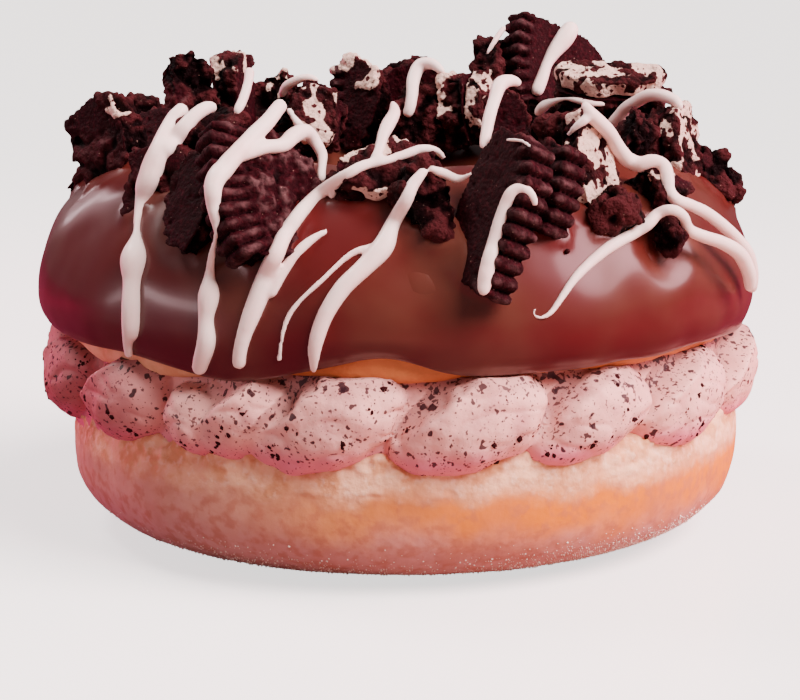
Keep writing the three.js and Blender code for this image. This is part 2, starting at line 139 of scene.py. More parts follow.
def grains(points: np.ndarray, size: float, seed: float) -> np.ndarray:
    """Read rounded grains that lie side by side.

    Args:
        points: The places to read, in millimetres.
        size: How far apart the grains are, in millimetres.
        seed: Picks another heap of grains.

    Returns:
        1 in the middle of a grain and about 0 between the grains, for each place.
    """
    shifted = points / size + seed * GRAIN_SHIFT
    nearest = (noise.voronoi(place, distance_metric="DISTANCE")[0][0] for place in shifted.tolist())
    return 1 - np.fromiter(nearest, float, len(points)) * 1.4


def front_angles(points: np.ndarray) -> np.ndarray:
    """Turn places into front angles in degrees, 0 at the front and 90 at the right."""
    return np.degrees(np.arctan2(points[:, 0], -points[:, 1]))


def turned(front: np.ndarray, middle: float) -> np.ndarray:
    """Measure how far front angles are from a middle, from -180 to 180 degrees."""
    return (front - middle + 180) % 360 - 180


def hump(front: np.ndarray, middle: float, width: float, power: int = 2) -> np.ndarray:
    """Rise to 1 at a front angle and fall to a third at the width, flatter on top at power 4."""
    return np.exp(-((turned(front, middle) / width) ** power))


def shares(steps: int, first: int = 1) -> list[float]:
    """List even shares up to 1, starting with the first step, 0 or 1."""
    return [i / steps for i in range(first, steps + 1)]


def swell(angle: np.ndarray, phase: float) -> np.ndarray:
    """Read the slow swell, about -1 to 1, that the solids have at angles from +X in radians."""
    return (np.sin(2 * angle + phase) + np.sin(3 * angle + 2 * phase) + np.sin(5 * angle)) / 2.4


# Making and finishing meshes


def ring_mesh(name: str, outline: Outline, turns: int) -> Mesh:
    """Sweep a closed outline round Z.

    Args:
        name: The mesh's name.
        outline: Radius and height of each corner, in order.
        turns: How many steps the sweep takes.

    Returns:
        A closed mesh in millimetres, facing outwards.
    """
    shape = bmesh.new()
    bmesh.ops.create_grid(shape, x_segments=turns, y_segments=len(outline), size=1)
    step = 2 * math.pi / turns
    for corner in shape.verts:
        radius, height = outline[round((corner.co.y + 1) / 2 * len(outline)) % len(outline)]
        turn = round((corner.co.x + 1) / 2 * turns) % turns * step
        corner.co = (radius * math.cos(turn), radius * math.sin(turn), height)
    seams = [corner for corner in shape.verts if corner.is_boundary]
    bmesh.ops.remove_doubles(shape, verts=seams, dist=1e-4)
    bmesh.ops.recalc_face_normals(shape, faces=shape.faces)
    return mesh_from(shape, name)


def mesh_from(shape: bmesh.types.BMesh, name: str) -> Mesh:
    """Turn a bmesh into a mesh and free it.

    Args:
        shape: The bmesh.
        name: The mesh's name.

    Returns:
        The new mesh.
    """
    mesh = bpy.data.meshes.new(name)
    shape.to_mesh(mesh)
    shape.free()
    return mesh


def with_modifier(mesh: Mesh, kind: str, **settings: object) -> Mesh:
    """Run one modifier over a mesh.

    Args:
        mesh: The mesh to start from.
        kind: The modifier's type.
        **settings: The modifier's values.

    Returns:
        The changed mesh.
    """
    holder = bpy.data.objects.new("holder", mesh)
    bpy.context.scene.collection.objects.link(holder)
    modifier = holder.modifiers.new(kind, kind)
    for key, value in settings.items():
        setattr(modifier, key, value)
    depsgraph = bpy.context.evaluated_depsgraph_get()
    changed = bpy.data.meshes.new_from_object(holder.evaluated_get(depsgraph))
    bpy.data.objects.remove(holder)
    bpy.data.meshes.remove(mesh)
    return changed


def remeshed(shape: bmesh.types.BMesh, name: str, voxel: float, passes: int) -> Mesh:
    """Turn a bmesh into an even fine mesh, with its corners softened in so many passes."""
    mesh = with_modifier(mesh_from(shape, name), "REMESH", mode="VOXEL", voxel_size=voxel)
    return with_modifier(mesh, "SMOOTH", factor=0.5, iterations=passes)


def ground_tree(meshes: list[Mesh], scale: float = 1.0) -> BVHTree:
    """Join meshes into one tree for finding what is below or near.

    Args:
        meshes: The meshes.
        scale: What turns their places into millimetres.

    Returns:
        The tree.
    """
    shape = bmesh.new()
    for mesh in meshes:
        shape.from_mesh(mesh)
    bmesh.ops.scale(shape, vec=(scale, scale, scale), verts=shape.verts)
    tree = BVHTree.FromBMesh(shape)
    shape.free()
    return tree


def finish_piece(
    name: str, mesh: Mesh, material: Material, nodes: tuple[str, ...] = ()
) -> Object:
    """Turn a mesh in millimetres into a finished piece that rides on the doughnut.

    Args:
        name: The piece's name.
        mesh: Its mesh.
        material: Its finish.
        nodes: The solids that the piece stands for.

    Returns:
        The piece's object.
    """
    mesh.transform(Matrix.Scale(METRES, 4))
    mesh.name = name
    mesh.materials.clear()
    mesh.materials.append(material)
    mesh.shade_smooth()
    piece = bpy.data.objects.new(name, mesh)
    bpy.context.scene.collection.objects.link(piece)
    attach(piece, BODY)
    if nodes:
        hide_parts(*nodes)
    log.info("%s: %d triangles", name, sum(len(face.vertices) - 2 for face in mesh.polygons))
    return piece


# The finishes


def linear(red: int, green: int, blue: int) -> Colour:
    """Turn a colour as a screen shows it into the values that a shader takes.

    Args:
        red: From 0 to 255.
        green: From 0 to 255.
        blue: From 0 to 255.

    Returns:
        The colour with full alpha.
    """
    parts = []
    for value in (red, green, blue):
        share = value / 255
        parts.append(share / 12.92 if share <= 0.04045 else ((share + 0.055) / 1.055) ** 2.4)
    return (*parts, 1.0)


@dataclass(frozen=True)
class Mottle:
    """Uneven patches in a finish.

    size is how far apart they are in millimetres and detail how many finer layers they have. They
    begin to show at the noise level low, show fully at high, and share is how strongly.
    """

    size: float
    detail: float
    low: float
    high: float
    share: float = 1.0


class NodePad:
    """Lays out the nodes of a material or a node group."""

    def __init__(self, tree: NodeTree) -> None:
        """Start on a node tree."""
        self.tree = tree

    def add(self, kind: str, settings: dict[str, object] | None = None, **inputs: object) -> Node:
        """Add a node.

        Args:
            kind: The node's type.
            settings: Properties of the node.
            **inputs: Values or sockets for its inputs, by name with _ for a blank.

        Returns:
            The node.
        """
        node = self.tree.nodes.new(kind)
        for key, value in (settings or {}).items():
            setattr(node, key, value)
        self.fill(node, **inputs)
        return node

    def fill(self, node: Node, **inputs: object) -> None:
        """Feed a node's inputs with values or sockets, by name with _ for a blank."""
        for key, value in inputs.items():
            self.feed(node.inputs[key.replace("_", " ")], value)

    def feed(self, socket: NodeSocket, value: object) -> None:
        """Give an input a value or a link.

        Args:
            socket: The input.
            value: A number, a colour or another node's output.
        """
        if isinstance(value, NodeSocket):
            self.tree.links.new(value, socket)
        else:
            socket.default_value = value

    def plug(self, node: Node, places: tuple[int, ...], *values: object) -> Node:
        """Feed a node's inputs by number, where several have the same name.

        Args:
            node: The node.
            places: The inputs' numbers.
            *values: A value or a socket for each.

        Returns:
            The same node.
        """
        for number, value in zip(places, values):
            self.feed(node.inputs[number], value)
        return node

    def math(self, kind: str, *values: object, clamp: bool = True) -> NodeSocket:
        """Work out a number from others with a Math node, held between 0 and 1 where clamp is set."""
        node = self.add("ShaderNodeMath", {"operation": kind, "use_clamp": clamp})
        return self.plug(node, (0, 1, 2), *values).outputs[0]

    def times(self, first: object, second: object) -> NodeSocket:
        """Multiply two numbers and hold the result between 0 and 1."""
        return self.math("MULTIPLY", first, second)

    def attribute(self, name: str) -> NodeSocket:
        """Read a number that the mesh carries."""
        return self.add("ShaderNodeAttribute", {"attribute_name": name}).outputs["Fac"]

    def axis(self, place: NodeSocket, name: str) -> NodeSocket:
        """Read one coordinate of a place, in metres."""
        return self.add("ShaderNodeSeparateXYZ", Vector=place).outputs[name]

    def noise(self, place: NodeSocket, size: float, detail: float) -> NodeSocket:
        """Read noise from 0 to 1: clouds of a size in millimetres, with so many finer layers."""
        node = self.add("ShaderNodeTexNoise", Vector=place, Scale=1 / (size * METRES), Detail=detail)
        return node.outputs["Fac"]

    def mottle(self, place: NodeSocket, look: Mottle) -> NodeSocket:
        """Lay out uneven patches, and say how much of one is at each place."""
        shown = self.span(self.noise(place, look.size, look.detail), look.low, look.high)
        return shown if look.share == 1 else self.times(shown, look.share)

    def span(self, value: object, low: float, high: float) -> NodeSocket:
        """Stretch a number so that low becomes 0 and high 1, softened and held between them."""
        soft = {"interpolation_type": "SMOOTHSTEP"}
        return self.add("ShaderNodeMapRange", soft, Value=value, From_Min=low, From_Max=high).outputs[0]

    def between(self, coordinate: object, ends: Ends) -> NodeSocket:
        """Stretch a coordinate so that the first end, in millimetres, becomes 0 and the second 1."""
        return self.span(coordinate, ends[0] * METRES, ends[1] * METRES)

    def blend(self, share: object, first: object, second: object) -> NodeSocket:
        """Mix two colours, with a share of the second."""
        node = self.add("ShaderNodeMix", {"data_type": "RGBA"})
        return self.plug(node, (0, 6, 7), share, first, second).outputs[2]

    def mixed(self, share: object, first: object, second: object) -> NodeSocket:
        """Mix two shaders, with a share of the second."""
        node = self.add("ShaderNodeMixShader")
        return self.plug(node, (0, 1, 2), share, first, second).outputs[0]

    def bump(self, height: object, strength: float, depth: float, under: object = None) -> NodeSocket:
        """Raise the surface's shading.

        Args:
            height: The height, from 0 to 1.
            strength: How much of it counts.
            depth: What a height of 1 is, in millimetres.
            under: Another bump's output, if this one lies on it.

        Returns:
            The new normal.
        """
        node = self.add("ShaderNodeBump", Strength=strength, Distance=depth * METRES, Height=height)
        if under is not None:
            self.fill(node, Normal=under)
        return node.outputs["Normal"]

    def crumb(self, place: NodeSocket, scale: float) -> bpy.types.bpy_prop_collection:
        """Place the crumb effect, with so many grains in a metre, and give its Height and Patches."""
        settings = {"node_tree": crumb_group()}
        return self.add("ShaderNodeGroup", settings, Vector=place, Scale=scale).outputs

    def specks(self, place: NodeSocket, scale: float, amount: float) -> NodeSocket:
        """Place the speck effect, with so many cells in a metre, and give its specks from 0 to 1."""
        settings = {"node_tree": speck_group()}
        return self.add("ShaderNodeGroup", settings, Vector=place, Scale=scale, Amount=amount).outputs[0]


def new_material(name: str) -> tuple[Material, NodePad, Node, NodeSocket]:
    """Start a material with a Principled shader.

    Args:
        name: The material's name.

    Returns:
        The material, its pad, its shader and its Object coordinates.
    """
    material = bpy.data.materials.new(name)
    material.use_nodes = True
    pad = NodePad(material.node_tree)
    shader = material.node_tree.nodes["Principled BSDF"]
    place = pad.add("ShaderNodeTexCoord").outputs["Object"]
    return material, pad, shader, place


def new_group(
    name: str, numbers: tuple[str, ...], results: tuple[str, ...]
) -> tuple[NodePad, bpy.types.bpy_prop_collection, Node]:
    """Start a node group that takes a Vector and numbers.

    Args:
        name: The group's name.
        numbers: The names of the numbers that go in.
        results: The names of the numbers that come out.

    Returns:
        The group's pad, what goes in, and the node that the results go to.
    """
    group = bpy.data.node_groups.new(name, "ShaderNodeTree")
    group.interface.new_socket("Vector", in_out="INPUT", socket_type="NodeSocketVector")
    for labels, way in ((numbers, "INPUT"), (results, "OUTPUT")):
        for label in labels:
            group.interface.new_socket(label, in_out=way, socket_type="NodeSocketFloat")
    pad = NodePad(group)
    return pad, pad.add("NodeGroupInput").outputs, pad.add("NodeGroupOutput")


def crumb_group() -> NodeTree:
    """Build the crumb effect once: fine grains with uneven dark and light patches.

    Returns:
        The node group, with Vector and Scale going in and Height and Patches coming out.
    """
    name = "crumb_grain"
    if name in bpy.data.node_groups:
        return bpy.data.node_groups[name]
    pad, entry, leave = new_group(name, ("Scale",), ("Height", "Patches"))
    scale = {"Vector": entry["Vector"], "Scale": entry["Scale"]}
    coarse = pad.add("ShaderNodeTexVoronoi", **scale).outputs["Distance"]
    fine = pad.add("ShaderNodeTexNoise", Detail=6.0, **scale).outputs["Fac"]
    half = pad.math("MULTIPLY", coarse, 0.5, clamp=False)
    pad.fill(leave, Height=pad.math("SUBTRACT", fine, half), Patches=fine)
    return pad.tree


def speck_group() -> NodeTree:
    """Build the speck effect once: scattered spots of uneven size and outline.

    Returns:
        The node group, with Vector, Scale and Amount going in and Specks coming out.
    """
    name = "scattered_specks"
    if name in bpy.data.node_groups:
        return bpy.data.node_groups[name]
    pad, entry, leave = new_group(name, ("Scale", "Amount"), ("Specks",))
    scale = {"Vector": entry["Vector"], "Scale": entry["Scale"]}
    warp = pad.add("ShaderNodeTexNoise", Detail=2.0, **scale).outputs["Fac"]
    cell = pad.add("ShaderNodeTexVoronoi", {"distance": "MANHATTAN"}, **scale).outputs
    ragged = pad.math("MULTIPLY_ADD", warp, 0.6, cell["Distance"], clamp=False)
    chance = pad.add("ShaderNodeSeparateColor", Color=cell["Color"]).outputs[0]
    reach = pad.math("MULTIPLY", chance, entry["Amount"], clamp=False)
    spot = pad.math("SUBTRACT", reach, ragged, clamp=False)
    pad.fill(leave, Specks=pad.span(spot, 0.0, 0.07))
    return pad.tree


@dataclass(frozen=True)
class CrustFinish:
    """Fried dough: a dusty rose-brown foot, golden sides and a pale band where it was cut.

    golden and cut are the heights between which the foot turns golden and the side turns pale.
    The two side ends are the places across between which it turns deep orange to the right, painted light
    where the key light falls, and greyer to the left, painted shade where the key light misses. All are
    in millimetres. lean lowers the golden part towards the right, wander is how unevenly both run, and
    streaks is how far golden streaks reach down.
    """

    name: str = "fried_crust"
    rose: Colour = linear(204, 142, 138)
    gold: Colour = linear(206, 138, 92)
    # Painted light: a deep orange for the right side, where the key light falls.
    key_lit_honey: Colour = linear(218, 118, 14)
    dark: Colour = linear(176, 100, 78)
    # Painted shade: a greyer colour for the left side, where the key light misses.
    shaded_ashen: Colour = linear(208, 158, 154)
    pale: Colour = linear(240, 184, 148)
    torn: Colour = linear(250, 214, 192)
    golden: Ends = (4.8, 11.0)
    cut: Ends = (10.2, 13.4)
    key_lit_side: Ends = (-20.0, 18.0)
    shaded_ashen_side: Ends = (-4.0, -26.0)
    shaded_ashen_share: float = 0.65
    lean: float = 0.02
    wander: float = 5.0
    streaks: float = 3.0
    blotches: Mottle = Mottle(7.0, 5.0, 0.5, 0.75, 0.4)
    spots: Mottle = Mottle(1.6, 5.0, 0.45, 0.65, 0.5)
    yellowed: Mottle = Mottle(3.4, 5.0, 0.46, 0.6, 0.75)

    def material(self) -> Material:
        """Build the crust's material.

        Returns:
            The material.
        """
        material, pad, shader, place = new_material(self.name)
        across = pad.axis(place, "X")
        wandering = pad.noise(place, size=5.0, detail=5.0)
        height = pad.axis(place, "Z")
        uneven = pad.math("MULTIPLY_ADD", wandering, self.wander * METRES, height, clamp=False)
        leaning = pad.math("MULTIPLY_ADD", across, self.lean, uneven, clamp=False)
        streaks = pad.times(pad.noise(place, size=9.0, detail=3.0), self.streaks * METRES)
        golden = pad.between(pad.math("SUBTRACT", leaning, streaks), self.golden)
        # Painted light and shade: deep orange towards the right, where the key light falls, and greyer
        # towards the left, where it misses.
        side = pad.between(across, self.key_lit_side)
        colour = pad.blend(golden, self.rose, pad.blend(side, self.gold, self.key_lit_honey))
        dull = pad.times(pad.between(across, self.shaded_ashen_side), self.shaded_ashen_share)
        colour = pad.blend(dull, colour, self.shaded_ashen)
        for patches in (self.blotches, self.spots):
            colour = pad.blend(pad.mottle(place, patches), colour, self.dark)
        # The wander lifts the height by half of itself on the whole.
        band = pad.between(uneven, tuple(edge + self.wander / 2 for edge in self.cut))
        colour = pad.blend(band, colour, self.pale)
        colour = pad.blend(pad.times(pad.mottle(place, self.yellowed), band), colour, self.gold)
        crumb = pad.crumb(place, 1100.0)
        whitish = pad.span(crumb["Patches"], 0.5, 0.7)
        colour = pad.blend(pad.times(whitish, pad.times(band, 0.4)), colour, self.torn)
        relief = pad.bump(crumb["Height"], strength=0.25, depth=0.2)
        bumpy = pad.noise(place, self.spots.size, self.spots.detail)
        relief = pad.bump(bumpy, strength=0.2, depth=0.2, under=relief)
        flaky = pad.times(pad.noise(place, size=0.9, detail=6.0), band)
        relief = pad.bump(flaky, strength=0.5, depth=0.5, under=relief)
        pad.fill(
            shader,
            Base_Color=colour,
            Normal=relief,
            Roughness=0.62,
            Specular_IOR_Level=0.25,
            Subsurface_Weight=0.12,
            Subsurface_Radius=(0.004, 0.002, 0.001),
            Subsurface_Scale=0.5,
        )
        return material


@dataclass(frozen=True)
class DoughFinish:
    """The cut upper half: pale dough that shows below the glaze.

    toasted_side is the places across, in millimetres, between which it turns all toasted.
    """

    name: str = "pale_dough"
    dough: Colour = linear(236, 182, 142)
    toasted: Colour = linear(196, 118, 66)
    toasted_side: Ends = (-30.0, -10.0)
    patches: Mottle = Mottle(3.0, 5.0, 0.35, 0.7, 0.5)

    def material(self) -> Material:
        """Build the dough's material.

        Returns:
            The material.
        """
        material, pad, shader, place = new_material(self.name)
        right = pad.between(pad.axis(place, "X"), self.toasted_side)
        golden = pad.math("MAXIMUM", pad.mottle(place, self.patches), right)
        relief = pad.bump(pad.crumb(place, 1400.0)["Height"], strength=0.4, depth=0.3)
        colour = pad.blend(golden, self.dough, self.toasted)
        pad.fill(shader, Base_Color=colour, Normal=relief, Roughness=0.7)
        return material


@dataclass(frozen=True)
class CreamFinish:
    """Piped cream with biscuit flecks, fine dust and ragged clusters. Painted shade darkens its recesses
    and its top under the glaze, dulls its left side and turns it pinker low down where it sags.

    Each of flecks gives a size in millimetres, the noise level that they start at, and how strongly they
    show. They are denser in the recesses and clusters. sag is the heights between which it turns pinker
    and darker, a painted shade as if lit pink from below, and the side ends are the places across between
    which it turns duller, a painted shade on the side away from the key light, in millimetres.
    """

    name: str = "speckled_cream"
    cream: Colour = linear(240, 176, 168)
    grey: Colour = linear(212, 146, 144)
    # Painted shade for the recesses and the top under the glaze.
    recess: Colour = linear(140, 88, 86)
    # Painted shade low down, pinker as if lit pink from below.
    pink_underside_shade: Colour = linear(226, 104, 140)
    # Painted shade for the left side, away from the key light.
    left_shade: Colour = linear(188, 108, 112)
    speck: Colour = linear(44, 18, 26)
    haze: Colour = linear(132, 84, 96)
    flecks: tuple[Spot, ...] = (
        (1.7, 0.685, 0.95),
        (0.9, 0.67, 0.9),
        (0.5, 0.655, 0.8),
    )
    sag: Ends = (18.6, 15.4)
    left_shade_side: Ends = (-21.0, -37.0)
    clouds: Mottle = Mottle(4.0, 4.0, 0.45, 0.75)
    clusters: Mottle = Mottle(2.6, 3.0, 0.6, 0.72, 0.08)

    def material(self) -> Material:
        """Build the cream's material. It reads where painted shade darkens the recesses and the top under
        the glaze, and where the flecks are denser.

        Returns:
            The material.
        """
        material, pad, shader, place = new_material(self.name)
        sunken = pad.attribute("sunken")
        colour = pad.blend(pad.mottle(place, self.clouds), self.cream, self.grey)
        # Painted shade: duller towards the left, away from the key light.
        colour = pad.blend(pad.between(pad.axis(place, "X"), self.left_shade_side), colour, self.left_shade)
        # Painted shade: pinker and darker low down, as if lit pink from below.
        low = pad.between(pad.axis(place, "Z"), self.sag)
        colour = pad.blend(pad.times(low, 0.8), colour, self.pink_underside_shade)
        # Painted shade in the recesses and on the top under the glaze, where the flecks are denser too.
        colour = pad.blend(pad.times(sunken, 0.75), colour, self.recess)
        denser = pad.math("ADD", pad.mottle(place, self.clusters), pad.times(sunken, 0.08))
        for size, level, strength in self.flecks:
            raised = pad.math("ADD", pad.noise(place, size, detail=1.5), denser)
            share = pad.times(pad.span(raised, level, level + 0.03), strength)
            colour = pad.blend(share, colour, self.speck)
        dust = pad.specks(place, 2400.0, amount=0.72)
        colour = pad.blend(pad.times(dust, 0.7), colour, self.haze)
        relief = pad.bump(pad.noise(place, size=0.7, detail=5.0), strength=0.35, depth=0.3)
        pad.fill(
            shader,
            Base_Color=colour,
            Normal=relief,
            Roughness=0.5,
            Subsurface_Weight=0.15,
            Subsurface_Radius=(0.003, 0.0016, 0.0014),
            Subsurface_Scale=0.4,
        )
        return material


@dataclass(frozen=True)
class GlazeFinish:
    """Poured chocolate glaze: dark, thick and glossy, glossiest where the haze is thin."""

    name: str = "chocolate_glaze"
    deep: Colour = linear(76, 17, 17)
    lit: Colour = linear(86, 45, 35)
    patches: Mottle = Mottle(14.0, 3.0, 0.35, 0.7)
    haze: Mottle = Mottle(6.0, 1.0, 0.1, 0.9)
    glossiest: float = 0.29
    dullest: float = 0.38

    def material(self) -> Material:
        """Build the glaze's material.

        Returns:
            The material.
        """
        material, pad, shader, place = new_material(self.name)
        haze = pad.mottle(place, self.haze)
        rough = pad.add("ShaderNodeMapRange", Value=haze, To_Min=self.glossiest, To_Max=self.dullest)
        colour = pad.blend(pad.mottle(place, self.patches), self.deep, self.lit)
        pad.fill(shader, Base_Color=colour, Roughness=rough.outputs["Result"])
        pad.fill(shader, Coat_Weight=0.35, Coat_Roughness=0.16)
        return material


@dataclass(frozen=True)
class BiscuitFinish:
    """Dark cocoa biscuit: dull baked faces, redder sugary broken ones, and smears of cream. Its low
    places carry painted shade, its raised tops a paler wear with painted sheen, and its sugar specks are
    partly painted glints.
    """

    name: str = "cocoa_biscuit"
    baked: Colour = linear(33, 6, 11)
    bloom: Colour = linear(54, 13, 20)
    # Paler wear and painted sheen for the raised tops.
    wear_and_sheen: Colour = linear(96, 66, 68)
    broken: Colour = linear(62, 24, 27)
    # Painted shade for the low places.
    pit_shade: Colour = linear(10, 2, 3)
    # Sugar specks: partly the sugar's own colour, partly painted glints.
    sugar: Colour = linear(205, 165, 150)
    smear: Colour = linear(214, 182, 168)
    stain: Colour = linear(160, 120, 110)
    wear: Mottle = Mottle(1.2, 5.0, 0.35, 0.65, 0.8)
    fraying: Mottle = Mottle(0.8, 4.0, 0.45, 0.65, 0.45)

    def material(self) -> Material:
        """Build the biscuit's material.

        It reads how broken, how raised and how smeared each place is.

        Returns:
            The material.
        """
        material, pad, shader, place = new_material(self.name)
        broken = pad.attribute("broken")
        depth = pad.attribute("raised")
        smear = pad.attribute("smeared")
        crumb = pad.crumb(place, 1900.0)
        baked = pad.blend(pad.span(crumb["Patches"], 0.45, 0.75), self.baked, self.bloom)
        # Painted shade: the low places of the baked faces turn nearly black.
        baked = pad.blend(pad.span(depth, 0.1, 0.5), self.pit_shade, baked)
        # Wear and painted sheen: the raised tops turn paler in patches, as where light catches them.
        wear_and_sheen = pad.times(pad.span(depth, 0.6, 1.0), pad.mottle(place, self.wear))
        baked = pad.blend(wear_and_sheen, baked, self.wear_and_sheen)
        # Painted shade in the low places of the broken sides.
        rough_side = pad.blend(pad.span(depth, 0.1, 0.8), self.pit_shade, self.broken)
        colour = pad.blend(broken, baked, rough_side)
        # Pale sugar specks, partly the sugar's own colour and partly painted glints.
        glint = pad.specks(place, 2600.0, amount=0.5)
        colour = pad.blend(pad.times(glint, 0.5), colour, self.sugar)
        stained = pad.blend(pad.span(crumb["Patches"], 0.5, 0.8), self.smear, self.stain)
        for scale, amount in ((3000.0, 0.7), (1300.0, 1.0)):
            stained = pad.blend(pad.specks(place, scale, amount), stained, self.broken)
        ragged = pad.math("SUBTRACT", smear, pad.times(crumb["Patches"], 0.5))
        ragged = pad.math("SUBTRACT", ragged, pad.mottle(place, self.fraying))
        colour = pad.blend(pad.span(ragged, 0.0, 0.3), colour, stained)
        bare = pad.times(broken, pad.math("SUBTRACT", 1.0, smear))
        gritty = pad.math("ADD", pad.times(bare, 0.8), 0.2)
        relief = pad.bump(pad.noise(place, size=0.45, detail=4.0), strength=0.9, depth=0.3)
        grit = pad.times(crumb["Height"], gritty)
        relief = pad.bump(grit, strength=0.9, depth=0.45, under=relief)
        pad.fill(shader, Base_Color=colour, Normal=relief, Roughness=0.7, Specular_IOR_Level=0.1)
        return material


@dataclass(frozen=True)
class DrizzleFinish:
    """White drizzle, a shade darker in patches."""

    name: str = "white_drizzle"
    white: Colour = linear(255, 228, 222)
    shade: Colour = linear(250, 212, 206)
    clouds: Mottle = Mottle(5.0, 3.0, 0.4, 0.75)

    def material(self) -> Material:
        """Build the drizzle's material.

        Returns:
            The material.
        """
        material, pad, shader, place = new_material(self.name)
        relief = pad.bump(pad.noise(place, size=0.8, detail=3.0), strength=0.12, depth=0.12)
        pad.fill(
            shader,
            Base_Color=pad.blend(pad.mottle(place, self.clouds), self.white, self.shade),
            Normal=relief,
            Roughness=0.36,
            Subsurface_Weight=0.15,
            Subsurface_Radius=(0.002, 0.0012, 0.001),
            Subsurface_Scale=0.5,
        )
        return material


@dataclass(frozen=True)
class SugarFinish:
    """Clear sugar grains, some of them warmer."""

    name: str = "sugar_grains"
    white: Colour = linear(250, 240, 232)
    warm: Colour = linear(236, 210, 190)

    def material(self) -> Material:
        """Build the sugar's material.

        Returns:
            The material.
        """
        material, pad, shader, place = new_material(self.name)
        colour = pad.blend(pad.noise(place, size=0.8, detail=3.0), self.white, self.warm)
        pad.fill(shader, Base_Color=colour, Roughness=0.2)
        return material


# The doughnut's rings


@dataclass
class RingSizes:
    """The ring's driving sizes, in millimetres, as the solids have them.

    edge_rises lists where the glaze's lower edge hangs higher or lower: the front angle and the
    width there, in degrees, and the rise.
    """

    crest_radius: float = 28.5
    glaze_reach: float = 16.5
    glaze_top: float = 47.0
    glaze_thickness: float = 1.5
    glaze_widest: float = 30.0
    glaze_edge: float = 25.8
    upper_cut: float = 25.2
    lower_cut: float = 17.0
    lower_widest: float = 11.5
    lower_reach: float = 42.3
    lower_foot: float = 27.5
    lower_shift: float = 1.0
    hole_radius: float = 13.0
    edge_rises: tuple[Spot, ...] = (
        (-1, 7, 1.5),
        (-22, 9, -0.9),
        (70, 12, 0.7),
        (-72, 12, 0.5),
        (35, 5, 0.4),
    )

    def dome_moved(self, points: np.ndarray) -> np.ndarray:
        """Swell the upper half round the ring as its solid does.

        Args:
            points: Places on a plain ring.

        Returns:
            The moved places.
        """
        angle = np.arctan2(points[:, 1], points[:, 0])
        lift = np.maximum(0, (points[:, 2] - self.glaze_widest) / (self.glaze_top - self.glaze_widest))
        moved = points.copy()
        moved[:, :2] *= (1 + 0.005 * swell(angle, 1.9))[:, None]
        moved[:, 2] += 0.5 * lift * swell(angle, 4.2)
        return moved

    def edge_heights(self, points: np.ndarray) -> np.ndarray:
        """Say how high the glaze's lower edge hangs.

        Args:
            points: Places round the ring.

        Returns:
            The edge's height at each place.
        """
        angle = np.arctan2(points[:, 1], points[:, 0])
        front = front_angles(points)
        height = self.glaze_edge + 0.4 * np.sin(7 * angle + 0.6) + 0.25 * np.sin(11 * angle + 2)
        for middle, width, rise in self.edge_rises:
            height += rise * hump(front, middle, width)
        return height


@dataclass
class LowerBun:
    """The lower half: a bowl-shaped side of fried crust with a torn pale top edge.

    shoulder is the radius of its top edge, taper how far the side draws in towards it, and hole_edge
    how deep the hole's wall begins. crust_bumps and torn are how uneven the crust and the torn edge
    are, and tear_front and tear_width say where it is torn most, in degrees.
    """

    sizes: RingSizes
    turns: int = 840
    shoulder: float = 1.3
    taper: float = 0.5
    hole_edge: float = 3.0
    crust_bumps: float = 0.22
    torn: float = 0.5
    tear_front: float = -5.0
    tear_width: float = 9.0

    def outline(self) -> Outline:
        """Lay out the cut through one side: the bowl, the side, the shoulder, the top and the hole.

        Returns:
            Radius and height of each corner, anticlockwise.
        """
        sizes = self.sizes
        cut = sizes.lower_cut
        hole = sizes.hole_radius
        corners = []
        for share in shares(42, first=0):
            turn = share * math.pi / 2
            radius = sizes.lower_foot + (sizes.lower_reach - sizes.lower_foot) * math.sin(turn)
            corners.append((radius, sizes.lower_widest * (1 - math.cos(turn) ** 0.7)))
        for share in shares(22):
            height = sizes.lower_widest + (cut - self.shoulder - sizes.lower_widest) * share
            corners.append((sizes.lower_reach - self.taper * share**2, height))
        for share in shares(6):
            turn = share * math.pi / 2
            radius = sizes.lower_reach - self.taper - self.shoulder * (1 - math.cos(turn))
            corners.append((radius, cut - self.shoulder + self.shoulder * math.sin(turn)))
        outer = sizes.lower_reach - self.taper - self.shoulder
        inner = hole + 1.6
        corners += [(outer + (inner - outer) * share, cut) for share in shares(12)]
        corners += [(hole + 0.5, cut - 1.0), (hole, cut - self.hole_edge)]
        for share in shares(8):
            height = (cut - self.hole_edge) * (1 - share) + cut / 3 * share
            corners.append((hole + 0.4 * share, height))
        corners += [(hole + 1.2, 2.2), (hole + 4, 0)]
        return corners

    def build(self) -> Object:
        """Make and dress the piece.

        Returns:
            The piece's object.
        """
        mesh = ring_mesh("lower_bun_crust", self.outline(), self.turns)
        points = points_of(mesh)
        angle = np.arctan2(points[:, 1], points[:, 0])
        points[:, :2] *= (1 + 0.008 * swell(angle, 0.7))[:, None]
        put_points(mesh, points)
        radius = np.hypot(points[:, 0], points[:, 1])
        height = points[:, 2]
        side = smooth_step(height, 0.3, 2.5)
        outside = smooth_step(radius, 36, 40)
        bumps = waves(points, 7.0, 1) + 0.3 * waves(points, 2.2, 2) + 0.12 * waves(points, 0.9, 3)
        near_cut = smooth_step(height, 13.0, 15.6) * outside
        crumbs = near_cut * self.torn * (waves(points, 1.7, 4) + 0.7 * waves(points, 0.8, 5))
        flattened = points * (0.6, 0.6, 1.5)
        tear = smooth_step(height, 10.8, 12.6) * smooth_step(waves(points, 5.0, 6), -0.1, 0.35) * outside
        tear *= 0.25 + 0.9 * hump(front_angles(points), self.tear_front, self.tear_width)
        crumbs += 0.8 * tear * (grains(flattened, 1.5, 7) - 0.3)
        points += normals_of(mesh) * (self.crust_bumps * bumps * side + crumbs)[:, None]
        points[:, 2] = np.maximum(points[:, 2], 0)
        points[:, 0] += self.sizes.lower_shift
        put_points(mesh, points)
        return finish_piece("lower_bun_crust", mesh, CrustFinish().material(), ("lower_bun",))


